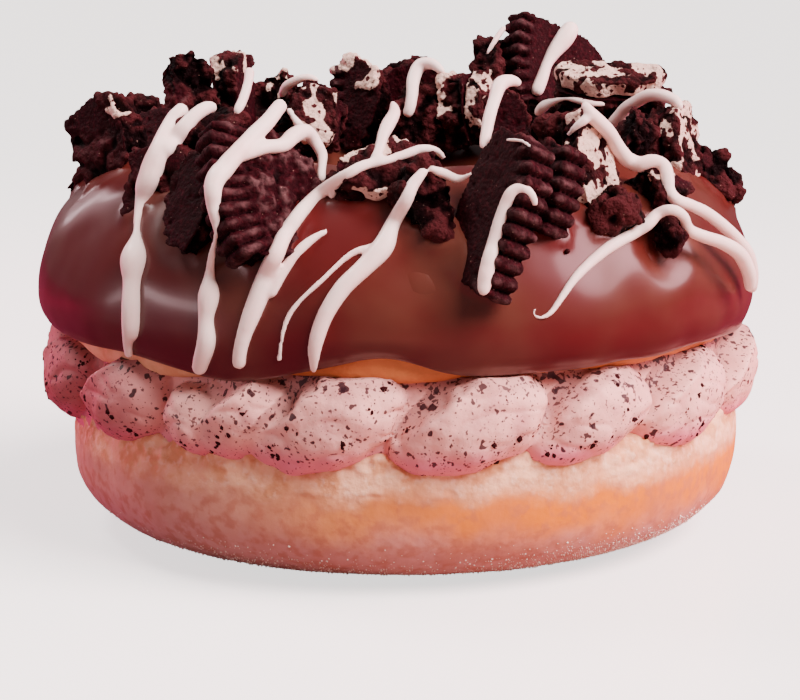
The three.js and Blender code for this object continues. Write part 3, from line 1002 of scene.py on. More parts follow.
@dataclass
class UpperBun:
    """The upper half: a ring of pale dough that shows below the glaze here and there.

    corner is the radius of its lower outer edge. droops lists where that edge sags: the front angle
    and the width there, in degrees, and the drop.
    """

    sizes: RingSizes
    turns: int = 360
    corner: float = 1.4
    droops: tuple[Spot, ...] = ((-44, 16, 1.6), (0, 9, 0.7), (37, 6, 0.3))

    def outline(self) -> Outline:
        """Lay out the cut through one side: the flat bottom, the outer corner and the dome.

        Returns:
            Radius and height of each corner, anticlockwise.
        """
        sizes = self.sizes
        reach = sizes.glaze_reach - sizes.glaze_thickness + 0.2
        rise = sizes.glaze_top - sizes.glaze_thickness - sizes.glaze_widest
        outer = sizes.crest_radius + reach - 1
        inner = sizes.crest_radius - reach + 1.2
        corners = []
        for share in shares(16, first=0):
            corners.append((inner + (outer - self.corner - inner) * share, sizes.upper_cut))
        for share in shares(6):
            turn = share * math.pi / 2
            radius = outer - self.corner * (1 - math.sin(turn))
            corners.append((radius, sizes.upper_cut + self.corner * (1 - math.cos(turn))))
        for share in shares(40, first=0):
            turn = share * math.pi
            radius = sizes.crest_radius + reach * math.cos(turn)
            corners.append((radius, sizes.glaze_widest + rise * math.sin(turn)))
        return corners

    def build(self) -> Object:
        """Make and dress the piece.

        Returns:
            The piece's object.
        """
        mesh = ring_mesh("upper_bun_dough", self.outline(), self.turns)
        points = self.sizes.dome_moved(points_of(mesh))
        front = front_angles(points)
        outer = smooth_step(np.hypot(points[:, 0], points[:, 1]), 36, 42)
        low = smooth_step(points[:, 2], 28, 25.2)
        droop = np.zeros(len(points))
        for middle, width, drop in self.droops:
            droop += drop * hump(front, middle, width, power=4)
        points[:, 2] -= droop * outer * low
        put_points(mesh, points)
        rough = 0.16 * waves(points, 2.4, 11) + 0.12 * waves(points, 0.9, 12)
        put_points(mesh, points + normals_of(mesh) * (rough * outer)[:, None])
        return finish_piece("upper_bun_dough", mesh, DoughFinish().material(), ("upper_bun",))


@dataclass(frozen=True)
class Lobe:
    """One lobe of piped cream: a leaning oval that stands out from the ring.

    front is its middle's front angle in degrees and height its middle's height. half_length and
    half_height are its size, lean how far its right end is up in degrees, and full how far it
    stands out. A ridge runs from its left end up to the middle of its top at ridge_slope degrees,
    and recess is how much of the bulge is left above that ridge. fuller is how much more its right
    end stands out than its middle.
    """

    front: float
    height: float
    half_length: float
    half_height: float
    lean: float
    full: float
    recess: float = 0.15
    ridge_slope: float = 34.0
    fuller: float = 0.18

    def bulge(self, front: np.ndarray, height: np.ndarray, arc: float) -> tuple[np.ndarray, np.ndarray]:
        """Say how far the lobe stands out.

        Args:
            front: Front angles in degrees.
            height: Heights in millimetres.
            arc: Millimetres round the ring for each degree.

        Returns:
            The bulge in millimetres, 0 outside the lobe, and how deep in its recess it is from 0 to 1,
            which sets where painted shade goes.
        """
        along = turned(front, self.front) * arc
        rise = height - self.height
        lean = math.radians(self.lean)
        length = (along * math.cos(lean) + rise * math.sin(lean)) / self.half_length
        width = (rise * math.cos(lean) - along * math.sin(lean)) / self.half_height
        fuller_end = 1 + self.fuller * np.clip(length, -1, 1)
        slope = math.radians(self.ridge_slope)
        start = (-0.95 * self.half_length, -0.3 * self.half_height)
        below = (along - start[0]) * math.sin(slope) - (rise - start[1]) * math.cos(slope)
        kept = self.recess + (1 - self.recess) * smooth_step(below, -0.3, 0.9)
        crest = 0.5 * (1 - self.recess) * np.exp(-(((below - 0.8) / 0.9) ** 2))
        inside = np.maximum(0, 1 - length**2 - width**2) ** 0.55
        full = (self.full * fuller_end * kept + crest) * inside
        return full, (1 - kept) * smooth_step(inside, 0.2, 0.5)


SHOWN_LOBES = (
    Lobe(-72, 20.6, 9.4, 5.6, 10, 4.4),
    Lobe(-49, 20.6, 8.8, 5.6, 14, 4.6),
    Lobe(-32.4, 19.4, 4.4, 4.0, 62, 4.2, recess=1.0),
    Lobe(-25, 20.6, 6.6, 5.2, 24, 4.3, recess=0.6),
    Lobe(-10.8, 20.5, 9.9, 5.7, 21, 4.8),
    Lobe(11, 20.3, 10.2, 5.8, 18, 4.9),
    Lobe(31, 20.0, 9.9, 5.5, 13, 4.7),
    Lobe(52, 20.0, 10.2, 5.6, 8, 4.6),
    Lobe(77, 20.8, 10.2, 6.0, 8, 4.8),
)


@dataclass
class CreamFilling:
    """The piped cream: lobes side by side round the ring, each sagging over the lower half's edge.

    base_reach is where the wall stands between the lobes, inner_reach the radius of the inside,
    sag how much higher the inside's bottom is, arc the millimetres in a degree, and blend how
    softly the lobes run together. flow_radius is where their unevenness is read. back_lobes are
    the front angles of the lobes that the photo doesn't show.
    """

    sizes: RingSizes
    base_reach: float = 41.0
    inner_reach: float = 15.4
    top: float = 25.3
    bottom: float = 13.9
    sag: float = 3.2
    arc: float = 0.782
    blend: float = 0.3
    flow_radius: float = 44.0
    back_lobes: tuple[float, ...] = (100, 122, 145, 168, 191, 214, 237, 261)
    turns: int = 900
    wall_rows: int = 60
    cap_rows: int = 8
    inner_rows: int = 14

    def lobes(self) -> list[Lobe]:
        """List the lobes that the photo shows and more of the same round the back.

        Returns:
            The lobes.
        """
        draw = random.Random(5)
        placed = list(SHOWN_LOBES)
        for middle in self.back_lobes:
            height = 20.4 + draw.uniform(-0.4, 0.4)
            half_length = 10 + draw.uniform(-0.8, 0.8)
            placed.append(Lobe(middle, height, half_length, 5.7, draw.uniform(6, 22), 4.6))
        return placed

    def outline(self) -> Outline:
        """Lay out a square whose four sides become the wall, the top, the inside and the bottom.

        Returns:
            Radius and height of each corner, both within 1 of the middle.
        """
        crest = self.sizes.crest_radius
        corners = [(crest + 1, -1 + 2 * i / self.wall_rows) for i in range(self.wall_rows)]
        corners += [(crest + 1 - 2 * i / self.cap_rows, 1.0) for i in range(self.cap_rows)]
        corners += [(crest - 1, 1 - 2 * i / self.inner_rows) for i in range(self.inner_rows)]
        corners += [(crest - 1 + 2 * i / self.cap_rows, -1.0) for i in range(self.cap_rows)]
        return corners

    def build(self) -> Object:
        """Make and dress the piece.

        Returns:
            The piece's object.
        """
        mesh = ring_mesh("piped_cream", self.outline(), self.turns)
        square = points_of(mesh)
        around = np.arctan2(square[:, 1], square[:, 0])
        outward = (np.hypot(square[:, 0], square[:, 1]) - self.sizes.crest_radius + 1) / 2
        upward = (square[:, 2] + 1) / 2
        height = self.bottom + (self.top - self.bottom) * upward
        height += (1 - outward) * self.sag * (1 - upward)
        front = np.degrees(around) + 90
        ring = (np.cos(around) * self.flow_radius, np.sin(around) * self.flow_radius)
        flow = np.column_stack((*ring, height))
        wander = 1.6 * waves(flow, 6.0, 21) + 0.7 * waves(flow, 2.6, 22)
        lift = 0.7 * waves(flow, 5.0, 23)
        total = np.ones(len(front))
        highest = np.full(len(front), 1.2)
        # Where painted shade darkens the cream: its top under the glaze and the lobes' recesses. The
        # flecks are denser there too.
        sunken = smooth_step(height, self.top - 2.2, self.top - 0.6)
        for lobe in self.lobes():
            bulge, sunk = lobe.bulge(front + wander, height + lift, self.arc)
            total += np.exp(bulge / self.blend) - 1
            over = np.maximum(sunk, 0.5 * sunken)
            beside = np.maximum(sunken, sunk * (bulge > 0.3))
            sunken = np.where(bulge > highest, over, beside)
            highest = np.maximum(highest, bulge)
        outside = self.base_reach + self.blend * np.log(total)
        inside = self.inner_reach + 1.2 * (2 * upward - 1) ** 2 + 0.8 * waves(flow, 9.0, 28)
        radius = inside + (outside - inside) * outward
        points = np.column_stack((radius * np.cos(around), radius * np.sin(around), height))
        put_points(mesh, points)
        shown = smooth_step(outward, 0.8, 1) * smooth_step(radius, 41.2, 42.6)
        folds = np.maximum(0, 1 - np.abs(waves(points * (1.0, 1.0, 1.7), 5.5, 24)) * 3)
        relief = 0.34 * waves(points, 4.5, 25) - 0.2 * folds**2 + 0.16 * waves(points, 1.9, 26)
        relief += 0.04 * waves(points, 0.8, 27)
        put_points(mesh, points + normals_of(mesh) * (relief * shown)[:, None])
        keep_values(mesh, "sunken", sunken * outward)
        return finish_piece("piped_cream", mesh, CreamFinish().material(), ("cream_filling",))


@dataclass(frozen=True)
class Dent:
    """A soft dent in the glaze with a low rim, or a bump where the depth is below 0.

    front is its front angle and slope how far up the dome it is, both in degrees: 0 is the widest
    ring outside and 90 the crest. radius and depth are in millimetres.
    """

    front: float
    slope: float
    radius: float
    depth: float


@dataclass
class Glaze:
    """The poured glaze: a thick skin over the upper half with a rounded hanging edge.

    lip is the radius of that edge. Within reach of a biscuit the glaze climbs by up to climb, from
    shoulder above its widest ring on.
    """

    sizes: RingSizes
    turns: int = 520
    lip: float = 0.55
    reach: float = 1.6
    climb: float = 0.55
    shoulder: float = 3.0
    dents: tuple[Dent, ...] = (
        Dent(44, 28, 4.4, 1.1),
        Dent(30, 28, 4.0, 0.5),
        Dent(26, 14, 5.0, 0.35),
        Dent(36, 46, 6.0, 0.5),
        Dent(6, 36, 3.4, -0.7),
        Dent(10, 30, 3.2, -0.7),
        Dent(3, 22, 6.0, 0.45),
        Dent(-33, 34, 5.0, 0.6),
        Dent(-60, 24, 7.0, 0.5),
        Dent(-18, 18, 6.0, 0.35),
        Dent(62, 30, 6.0, 0.5),
    )

    def path(self, grown: float) -> Outline:
        """Lay out the dome from its outer edge over the crest to its inner edge.

        Args:
            grown: How far outside the glaze's own surface the path runs.

        Returns:
            Radius and height of each place.
        """
        sizes = self.sizes
        reach = sizes.glaze_reach + grown
        rise = sizes.glaze_top - sizes.glaze_widest + grown
        skirt = sizes.glaze_widest - sizes.glaze_edge - self.lip
        skirt_steps = 12
        places = []
        for i in range(skirt_steps):
            share = 1 - i / skirt_steps
            places.append((sizes.crest_radius + reach - share**2, sizes.glaze_widest - skirt * share))
        for share in shares(90, first=0):
            turn = share * math.pi
            radius = sizes.crest_radius + reach * math.cos(turn)
            places.append((radius, sizes.glaze_widest + rise * math.sin(turn)))
        for share in shares(skirt_steps):
            radius = sizes.crest_radius - reach + 1.2 * share**2
            places.append((radius, sizes.glaze_widest - skirt * share))
        return places

    def outline(self) -> Outline:
        """Close the path with a rounded lip at each edge.

        Returns:
            Radius and height of each corner.
        """
        outer = self.path(0.0)
        under = self.path(-2 * self.lip)[::-3]
        return outer + self.rounded(outer[-1], under[0]) + under + self.rounded(under[-1], outer[0])

    def rounded(self, start: Ends, end: Ends) -> Outline:
        """Lay out a half circle between two corners.

        Args:
            start: Radius and height of the first corner.
            end: Radius and height of the second.

        Returns:
            Radius and height of each corner between them.
        """
        middle = ((start[0] + end[0]) / 2, (start[1] + end[1]) / 2)
        reach = (start[0] - middle[0], start[1] - middle[1])
        corners = []
        for share in shares(5)[:-1]:
            turn = math.pi * share
            radius = middle[0] + reach[0] * math.cos(turn) - reach[1] * math.sin(turn)
            corners.append((radius, middle[1] + reach[0] * math.sin(turn) + reach[1] * math.cos(turn)))
        return corners

    def dent_place(self, dent: Dent) -> np.ndarray:
        """Find a dent's middle on the dome.

        Args:
            dent: The dent.

        Returns:
            Its place in millimetres.
        """
        front = math.radians(dent.front)
        slope = math.radians(dent.slope)
        radius = self.sizes.crest_radius + self.sizes.glaze_reach * math.cos(slope)
        rise = (self.sizes.glaze_top - self.sizes.glaze_widest) * math.sin(slope)
        height = self.sizes.glaze_widest + rise
        return np.array((radius * math.sin(front), -radius * math.cos(front), height))

    def mesh(self) -> Mesh:
        """Make the glaze's surface without the biscuits.

        Returns:
            The mesh in millimetres.
        """
        sizes = self.sizes
        mesh = ring_mesh("poured_glaze", self.outline(), self.turns)
        points = points_of(mesh)
        below = np.maximum(0, sizes.glaze_widest - points[:, 2]) / (sizes.glaze_widest - sizes.glaze_edge)
        points = sizes.dome_moved(points)
        points[:, 2] += below * (sizes.edge_heights(points) - sizes.glaze_edge)
        put_points(mesh, points)
        relief = 0.36 * waves(points, 17.0, 31) + 0.22 * waves(points, 7.5, 32)
        relief += 0.05 * waves(points, 3.2, 33)
        for dent in self.dents:
            away = np.linalg.norm(points - self.dent_place(dent), axis=1) / dent.radius
            relief -= dent.depth * (1 - away**2) * np.exp(-(away**2))
        above = smooth_step(points[:, 2], sizes.glaze_edge - 0.5, sizes.glaze_edge + 2)
        put_points(mesh, points + normals_of(mesh) * (relief * above)[:, None])
        return mesh

    def build(self, mesh: Mesh, biscuits: BVHTree) -> Object:
        """Pull the glaze up round the biscuits that stand in it, and dress it.

        Args:
            mesh: The bare glaze.
            biscuits: The biscuits' surfaces.

        Returns:
            The piece's object.
        """
        points = points_of(mesh)
        normals = normals_of(mesh)
        top = points[:, 2] > self.sizes.glaze_widest + self.shoulder
        for i in np.flatnonzero(top):
            _, _, _, away = biscuits.find_nearest(points[i].tolist(), self.reach)
            if away is not None:
                points[i] += normals[i] * self.climb * (1 - away / self.reach) ** 2
        put_points(mesh, points)
        finish = GlazeFinish().material()
        return finish_piece("poured_glaze", mesh, finish, ("chocolate_glaze",))


# The drizzle's routes, which also say where the solids carry a fused strand


@dataclass(frozen=True)
class ViewPoint:
    """The point from which the drizzle's routes and the picture are seen."""

    distance: float = 260.0
    height: float = 67.0
    tilt: float = 10.05
    route_distance: float = 261.4

    def axes(self, behind: bool) -> tuple[np.ndarray, np.ndarray, np.ndarray, np.ndarray]:
        """Set out the view.

        Args:
            behind: Whether it is the view from the far side.

        Returns:
            The eye and the directions ahead, across and up.
        """
        side = -1.0 if behind else 1.0
        tilt = math.radians(self.tilt)
        eye = np.array((0.0, -side * self.distance, self.height))
        ahead = np.array((0.0, side * math.cos(tilt), -math.sin(tilt)))
        across = np.array((side, 0.0, 0.0))
        upward = np.array((0.0, side * math.sin(tilt), math.cos(tilt)))
        return eye, ahead, across, upward


VIEW = ViewPoint()


@dataclass(frozen=True)
class Strand:
    """One strand of drizzle.

    route lists places across and up in millimetres, as seen from the viewing point at the ring's
    middle, each with the strand's thickness there. behind says that it is seen from the far side.
    """

    route: tuple[Spot, ...]
    behind: bool = False

    def spread(self, step: float) -> np.ndarray:
        """Walk along the route in even steps.

        Args:
            step: How long a step is.

        Returns:
            Rows of across, up and thickness.
        """
        route = np.array(self.route)
        lengths = np.linalg.norm(np.diff(route[:, :2], axis=0), axis=1)
        knots = np.concatenate(((0.0,), np.cumsum(lengths)))
        padded = np.vstack((2 * route[0] - route[1], route, 2 * route[-1] - route[-2]))
        rows = []
        for spot in np.linspace(0, knots[-1], max(6, int(knots[-1] / step))):
            i = min(int(np.searchsorted(knots, spot, side="right")) - 1, len(lengths) - 1)
            share = (spot - knots[i]) / lengths[i]
            before, start, end, after = padded[i : i + 4]
            turn = 2 * start + (end - before) * share
            turn += (2 * before - 5 * start + 4 * end - after) * share**2
            turn += (3 * start - before - 3 * end + after) * share**3
            rows.append(turn / 2)
        return np.array(rows)

    def looks(self, step: float) -> tuple[np.ndarray, np.ndarray, np.ndarray]:
        """Say in which directions the strand is seen.

        Args:
            step: How far apart its places are.

        Returns:
            The eye, the unit directions from it and the strand's radius at each.
        """
        eye, ahead, across, upward = VIEW.axes(self.behind)
        rows = self.spread(step)
        looks = ahead * VIEW.route_distance + rows[:, :1] * across + rows[:, 1:2] * upward
        return eye, looks / np.linalg.norm(looks, axis=1)[:, None], rows[:, 2] / 2


FRONT_ROUTES = (
    (
        (-26.9, 31.2, 2), (-28.4, 29.2, 1.9), (-29.6, 26.6, 2.3), (-30.6, 23.8, 3), (-31.6, 21, 2.8),
        (-32.3, 18.9, 1.8), (-32.8, 16.6, 1.1), (-32.9, 14.5, 1.3), (-33, 11.6, 3.7), (-33.3, 8.6, 2.6),
        (-33.4, 5.6, 2.7), (-33.5, 2.6, 2.5), (-34, 1.2, 1.5), (-33.9, -0.9, 1.2),
    ),
    (
        (-22.8, 30.9, 1.4), (-24.1, 30.9, 1.8), (-25.5, 29.8, 1.9), (-26.8, 28.3, 2.1),
        (-28.3, 26.7, 2.3), (-30, 24.8, 2.6),
    ),
    (
        (-14.2, 31.5, 2), (-15.3, 30.2, 2), (-17.2, 28.2, 2.2), (-19.2, 26.1, 2.3), (-21.2, 24, 2.6),
        (-22.8, 21.9, 2.7), (-23.1, 19.6, 2.2), (-22.9, 17, 1.5), (-22.8, 14.8, 0.7), (-23.3, 12.2, 1),
        (-23.6, 9.4, 1.5), (-23.6, 7, 2.9), (-24, 4, 2.1), (-23.9, 1.2, 2.6), (-24.7, -1.6, 2.2),
        (-25, -2.9, 1.8),
    ),
    (
        (-20.4, 24.6, 1.8), (-18.5, 25.2, 1.9), (-16.4, 25.8, 1.9), (-14.4, 26.1, 2),
        (-12.9, 27.3, 2.2), (-11.5, 27.8, 2), (-10.3, 26.6, 1.7), (-9.4, 24.9, 1.5), (-9.4, 23.2, 1.2),
        (-9.5, 21.4, 1.2),
    ),
    ((-13.7, 30.8, 0.9), (-12.9, 29.5, 0.9), (-12.1, 28.3, 1.4)),
    (
        (6.2, 24.4, 0.9), (5, 25.5, 1), (3, 25.5, 1.3), (1, 24.8, 1.3), (-1, 24.1, 1.2),
        (-3.4, 23.7, 1.4), (-5.6, 22.7, 1.5), (-8.2, 21, 1.6), (-10.2, 19.3, 1.9), (-12.4, 17.1, 2),
        (-14.2, 14.6, 2.1), (-15.6, 11.4, 2.3), (-16.9, 7.9, 2.7), (-18.2, 4.6, 2.5), (-19.1, 2.2, 2.1),
        (-19.7, 0, 1.9), (-19.9, -2.2, 1.9),
    ),
    ((-7.2, 21.6, 1.2), (-7.8, 20.2, 1), (-8.2, 19.2, 0.9)),
    (
        (-8.6, 15.2, 0.7), (-10.2, 14.3, 1.1), (-11.6, 13.2, 1.4), (-13, 11.7, 1.4), (-14.4, 9.7, 1.5),
        (-16, 6.8, 1.5),
    ),
    (
        (-2.9, 13.2, 0.9), (-5.2, 12.4, 1), (-7, 11.1, 0.8), (-9.4, 8.8, 0.8), (-11.9, 6.5, 0.7),
        (-13.4, 4.6, 0.8), (-14.2, 2.6, 0.7), (-14.6, 0.4, 0.6), (-14.8, -1.4, 0.8),
    ),
    (
        (3.8, 23, 1.2), (2.4, 21.2, 1.7), (1, 18.4, 1.9), (-0.5, 15.6, 2.1), (-1.6, 13, 2.9),
        (-4, 10.4, 2.5), (-6.7, 7.8, 2.4), (-8.9, 4.4, 2.2), (-10.1, 1, 2), (-10.4, -1.6, 1.3),
        (-10.4, -2.9, 0.7),
    ),
    ((4.2, 23.2, 0.9), (5.9, 22.5, 1.4), (7.8, 21.7, 1.2), (9, 22, 0.8), (9.8, 22.5, 0.7)),
    (
        (6, 35.2, 1), (4.6, 36.4, 1.5), (3, 36.3, 1.8), (2.2, 34.6, 1.8), (2, 32.4, 1.6),
        (1.6, 30.6, 1.5), (1.2, 29.8, 1.3),
    ),
    (
        (-0.4, 31.6, 0.8), (-0.1, 30.3, 1.6), (-0.8, 28.7, 1.9), (-1.5, 27.2, 1.6), (-2.1, 25.4, 1.4),
        (-2.8, 24.2, 1.4),
    ),
    ((-18.7, 35.9, 1.5), (-18.9, 34.2, 1.3), (-19.4, 32.4, 1.3), (-20, 30.9, 1.3), (-20.4, 30, 0.9)),
    ((-14.6, 32.3, 1), (-14, 33.5, 1.3), (-12.8, 34.3, 1.2), (-11.2, 34.7, 1), (-9.9, 34.3, 0.8)),
    (
        (22.6, 41.6, 2), (21.4, 39.8, 2.5), (20, 38, 2), (19.1, 36.4, 1.5), (18.4, 34.4, 1.7),
        (17.6, 32.4, 1.8),
    ),
    (
        (15.9, 33.8, 1.1), (14.8, 34.4, 1.6), (13.3, 33.9, 2), (12.5, 31.8, 1.7), (11.8, 29.4, 1.7),
        (11.4, 27.2, 1.5), (11.2, 25.6, 0.9),
    ),
    (
        (17.9, 18.4, 0.9), (17.2, 19.8, 1.3), (16.1, 20.6, 1.6), (14.9, 19.9, 1.8), (13.9, 17.8, 1.7),
        (13, 15, 1.8), (12.2, 12, 2), (11.6, 9, 2.1), (11.2, 7, 1.4),
    ),
    (
        (17.8, 29.9, 1.1), (18.8, 31, 1.5), (20, 31.6, 1), (21.6, 32, 0.6), (23.2, 31.8, 0.9),
        (25, 31.4, 0.9), (26.6, 31.3, 0.7),
    ),
    (
        (24.2, 31.6, 1.1), (24.7, 30, 1.9), (26.4, 28.4, 2), (28, 26.5, 2), (29.5, 24.3, 2.1),
        (31, 23.4, 2.1), (32.8, 23.8, 2), (34.2, 23.1, 1.9), (34.8, 21, 1.7), (35.6, 19.3, 1.7),
        (37.4, 18.4, 1.6), (39.4, 17.4, 1.7), (41.4, 15.9, 1.7), (43.2, 14.2, 1.7), (44.6, 12.2, 1.9),
        (45.2, 9.6, 1.8), (45.2, 7.4, 1.4),
    ),
    (
        (36.3, 30.6, 0.9), (35.6, 31.7, 1.5), (34, 32.3, 1.7), (32.2, 32.3, 1.7), (30.6, 31.6, 1.7),
        (29.2, 30.8, 1.7), (28.2, 29.4, 1.9), (27.2, 28.6, 1.6),
    ),
    ((21.9, 27.3, 0.6), (23, 28.5, 1), (24.4, 29.6, 1.5)),
    (
        (17.8, 5.4, 0.5), (17.6, 4.5, 0.5), (18.4, 4.1, 0.6), (19.7, 4.7, 0.8), (21, 6.5, 1),
        (22.4, 8.6, 1.2), (24, 10.4, 1.4), (26.6, 12.6, 1.6), (29.6, 14.5, 1.7), (32, 16, 1.7),
        (33.6, 17.3, 1.6), (35.2, 17.7, 1.6), (36.5, 16.9, 1.6), (37.2, 15.3, 1.6), (39, 14.4, 1.7),
        (41.4, 13.6, 1.8), (43.6, 12.2, 2), (44.8, 9.8, 1.9), (45, 7.6, 1.5),
    ),
    ((13.9, 41.2, 0.8), (12.8, 39.8, 0.8), (11.6, 37.6, 0.6)),
    ((14.2, 26.8, 0.6), (16, 26.7, 0.6), (17.6, 25.6, 0.5)),
)
FAR_ROUTES = (
    ((-30, 19, 2.2), (-31, 13, 2.8), (-32, 6, 2.4), (-32.6, -1, 1.8)),
    ((-17, 22, 2.2), (-18, 15, 2.8), (-19.6, 8, 2.4), (-20.4, -2, 1.8)),
    ((2, 16, 2.4), (0.4, 10, 2.4), (-1, 3, 2.8), (-2, -3, 1.6)),
    ((14, 22, 2.4), (15.6, 14, 2.6), (17, 7, 2.4), (17.6, -1, 2.0)),
    ((29, 19, 2.0), (31, 12, 2.6), (32.6, 6, 2.2), (33, 0, 1.8)),
)
STRANDS = (
    *(Strand(route) for route in FRONT_ROUTES),
    *(Strand(route, behind=True) for route in FAR_ROUTES),
)


# The broken biscuits


@dataclass(frozen=True)
class RimFrame:
    """Where a rim piece's biscuit lies: the piece's middle, its turns and its size.

    turn is the way its flat face looks, right of the front and up, and then its roll, in degrees.
    ridge is how far its ridges reach over the face, in millimetres.
    """

    at: Spot
    turn: Spot
    width: float
    ridge: float = 1.6

    def local(self, points: np.ndarray) -> np.ndarray:
        """Turn places into the piece's own frame, with its rim at +X and its face towards -Y.

        Args:
            points: Places in millimetres.

        Returns:
            The same places in the piece's frame.
        """
        right, up, roll = (math.radians(part) for part in self.turn)
        turn = Matrix.Rotation(right, 3, "Z") @ Matrix.Rotation(-up, 3, "X")
        turn = turn @ Matrix.Rotation(-roll, 3, "Y")
        return (points - np.array(self.at)) @ np.array(turn)


@dataclass(frozen=True)
class WaferLook:
    """What sets one wafer apart from a plain one.

    rim says where its biscuit lies, if the wafer has a piece of the rim, and embossed whether its
    face has rows of bumps. smear is how much cream is left all over it, from 0 to 1, and patch the
    middle and reach of a single smear. craggy is how far its face has crumbled away, from 0 to 1.
    softness is how far the corners of its outline come in. pushes lists where the outline is pushed
    in or out: the spot, the push and how far round the spot it works.
    """

    rim: RimFrame | None = None
    embossed: bool = False
    smear: float = 0.0
    patch: tuple[float, float, float, float] | None = None
    craggy: float = 0.0
    softness: float = 0.45
    pushes: tuple[tuple[Spot, Spot, float], ...] = ()


CRUMBLED = WaferLook(craggy=1.0)
WAFERS = {
    "back_crest_wafer": CRUMBLED,
    "back_left_wafer": WaferLook(smear=0.36),
    "back_rim_wafer": WaferLook(RimFrame((-9, 41.5, 42.2), (132, 20, -6), 10), embossed=True),
    "back_top_wafer": WaferLook(smear=0.4),
    "behind_rim_wafer": WaferLook(RimFrame((16.2, -35.6, 44.8), (-48, 20, 0), 8), embossed=True),
    "big_rim_wafer": WaferLook(RimFrame((-14, -36.6, 44.8), (34, 30, 176), 14.5, 3.6), embossed=True),
    "far_right_wafer": WaferLook(craggy=1.0, softness=0.2),
    "front_point_wafer": CRUMBLED,
    "front_rim_wafer": WaferLook(RimFrame((10.8, -41.6, 42.6), (-50, 20, -6), 10)),
    "left_blade_wafer": WaferLook(smear=0.2),
    "left_face_wafer": WaferLook(
        patch=(-33.6, -13.0, 52.8, 2.4),
        craggy=0.5,
        softness=1.5,
        pushes=(
            ((-40.5, -5.7, 41.5), (3.6, -2.8, 0.6), 5.0),
            ((-40.8, -5.4, 50.0), (-1.0, 0.8, 0.0), 4.0),
            ((-38.0, -7.5, 56.0), (0.8, -0.6, -1.2), 3.0),
        ),
    ),
    "left_flat_wafer": CRUMBLED,
    "left_inner_wafer": CRUMBLED,
    "left_spike_wafer": WaferLook(craggy=1.0, softness=0.1),
    "middle_sandwich_wafer": WaferLook(smear=0.2),
    "rear_left_rim_wafer": WaferLook(RimFrame((-4.7, 20.5, 51.4), (-34, 14, 186), 8.4), smear=0.2),
    "rear_line_wafer": WaferLook(smear=0.2),
    "rear_rim_wafer": WaferLook(RimFrame((21.6, 22, 56.2), (32, 14, 168), 15)),
    "rear_slim_wafer": CRUMBLED,
    "rear_small_wafer": WaferLook(smear=0.12, craggy=1.0),
    "right_small_wafer": WaferLook(smear=0.36, craggy=1.0),
}
# How much of a cream layer is crumbs: 0 for the plain ones.
CRUMBLY_CREAM = {
    "middle_sandwich_cream": 0.5,
    "rear_line_cream": 0.15,
    "right_blade_cream": 0.15,
}


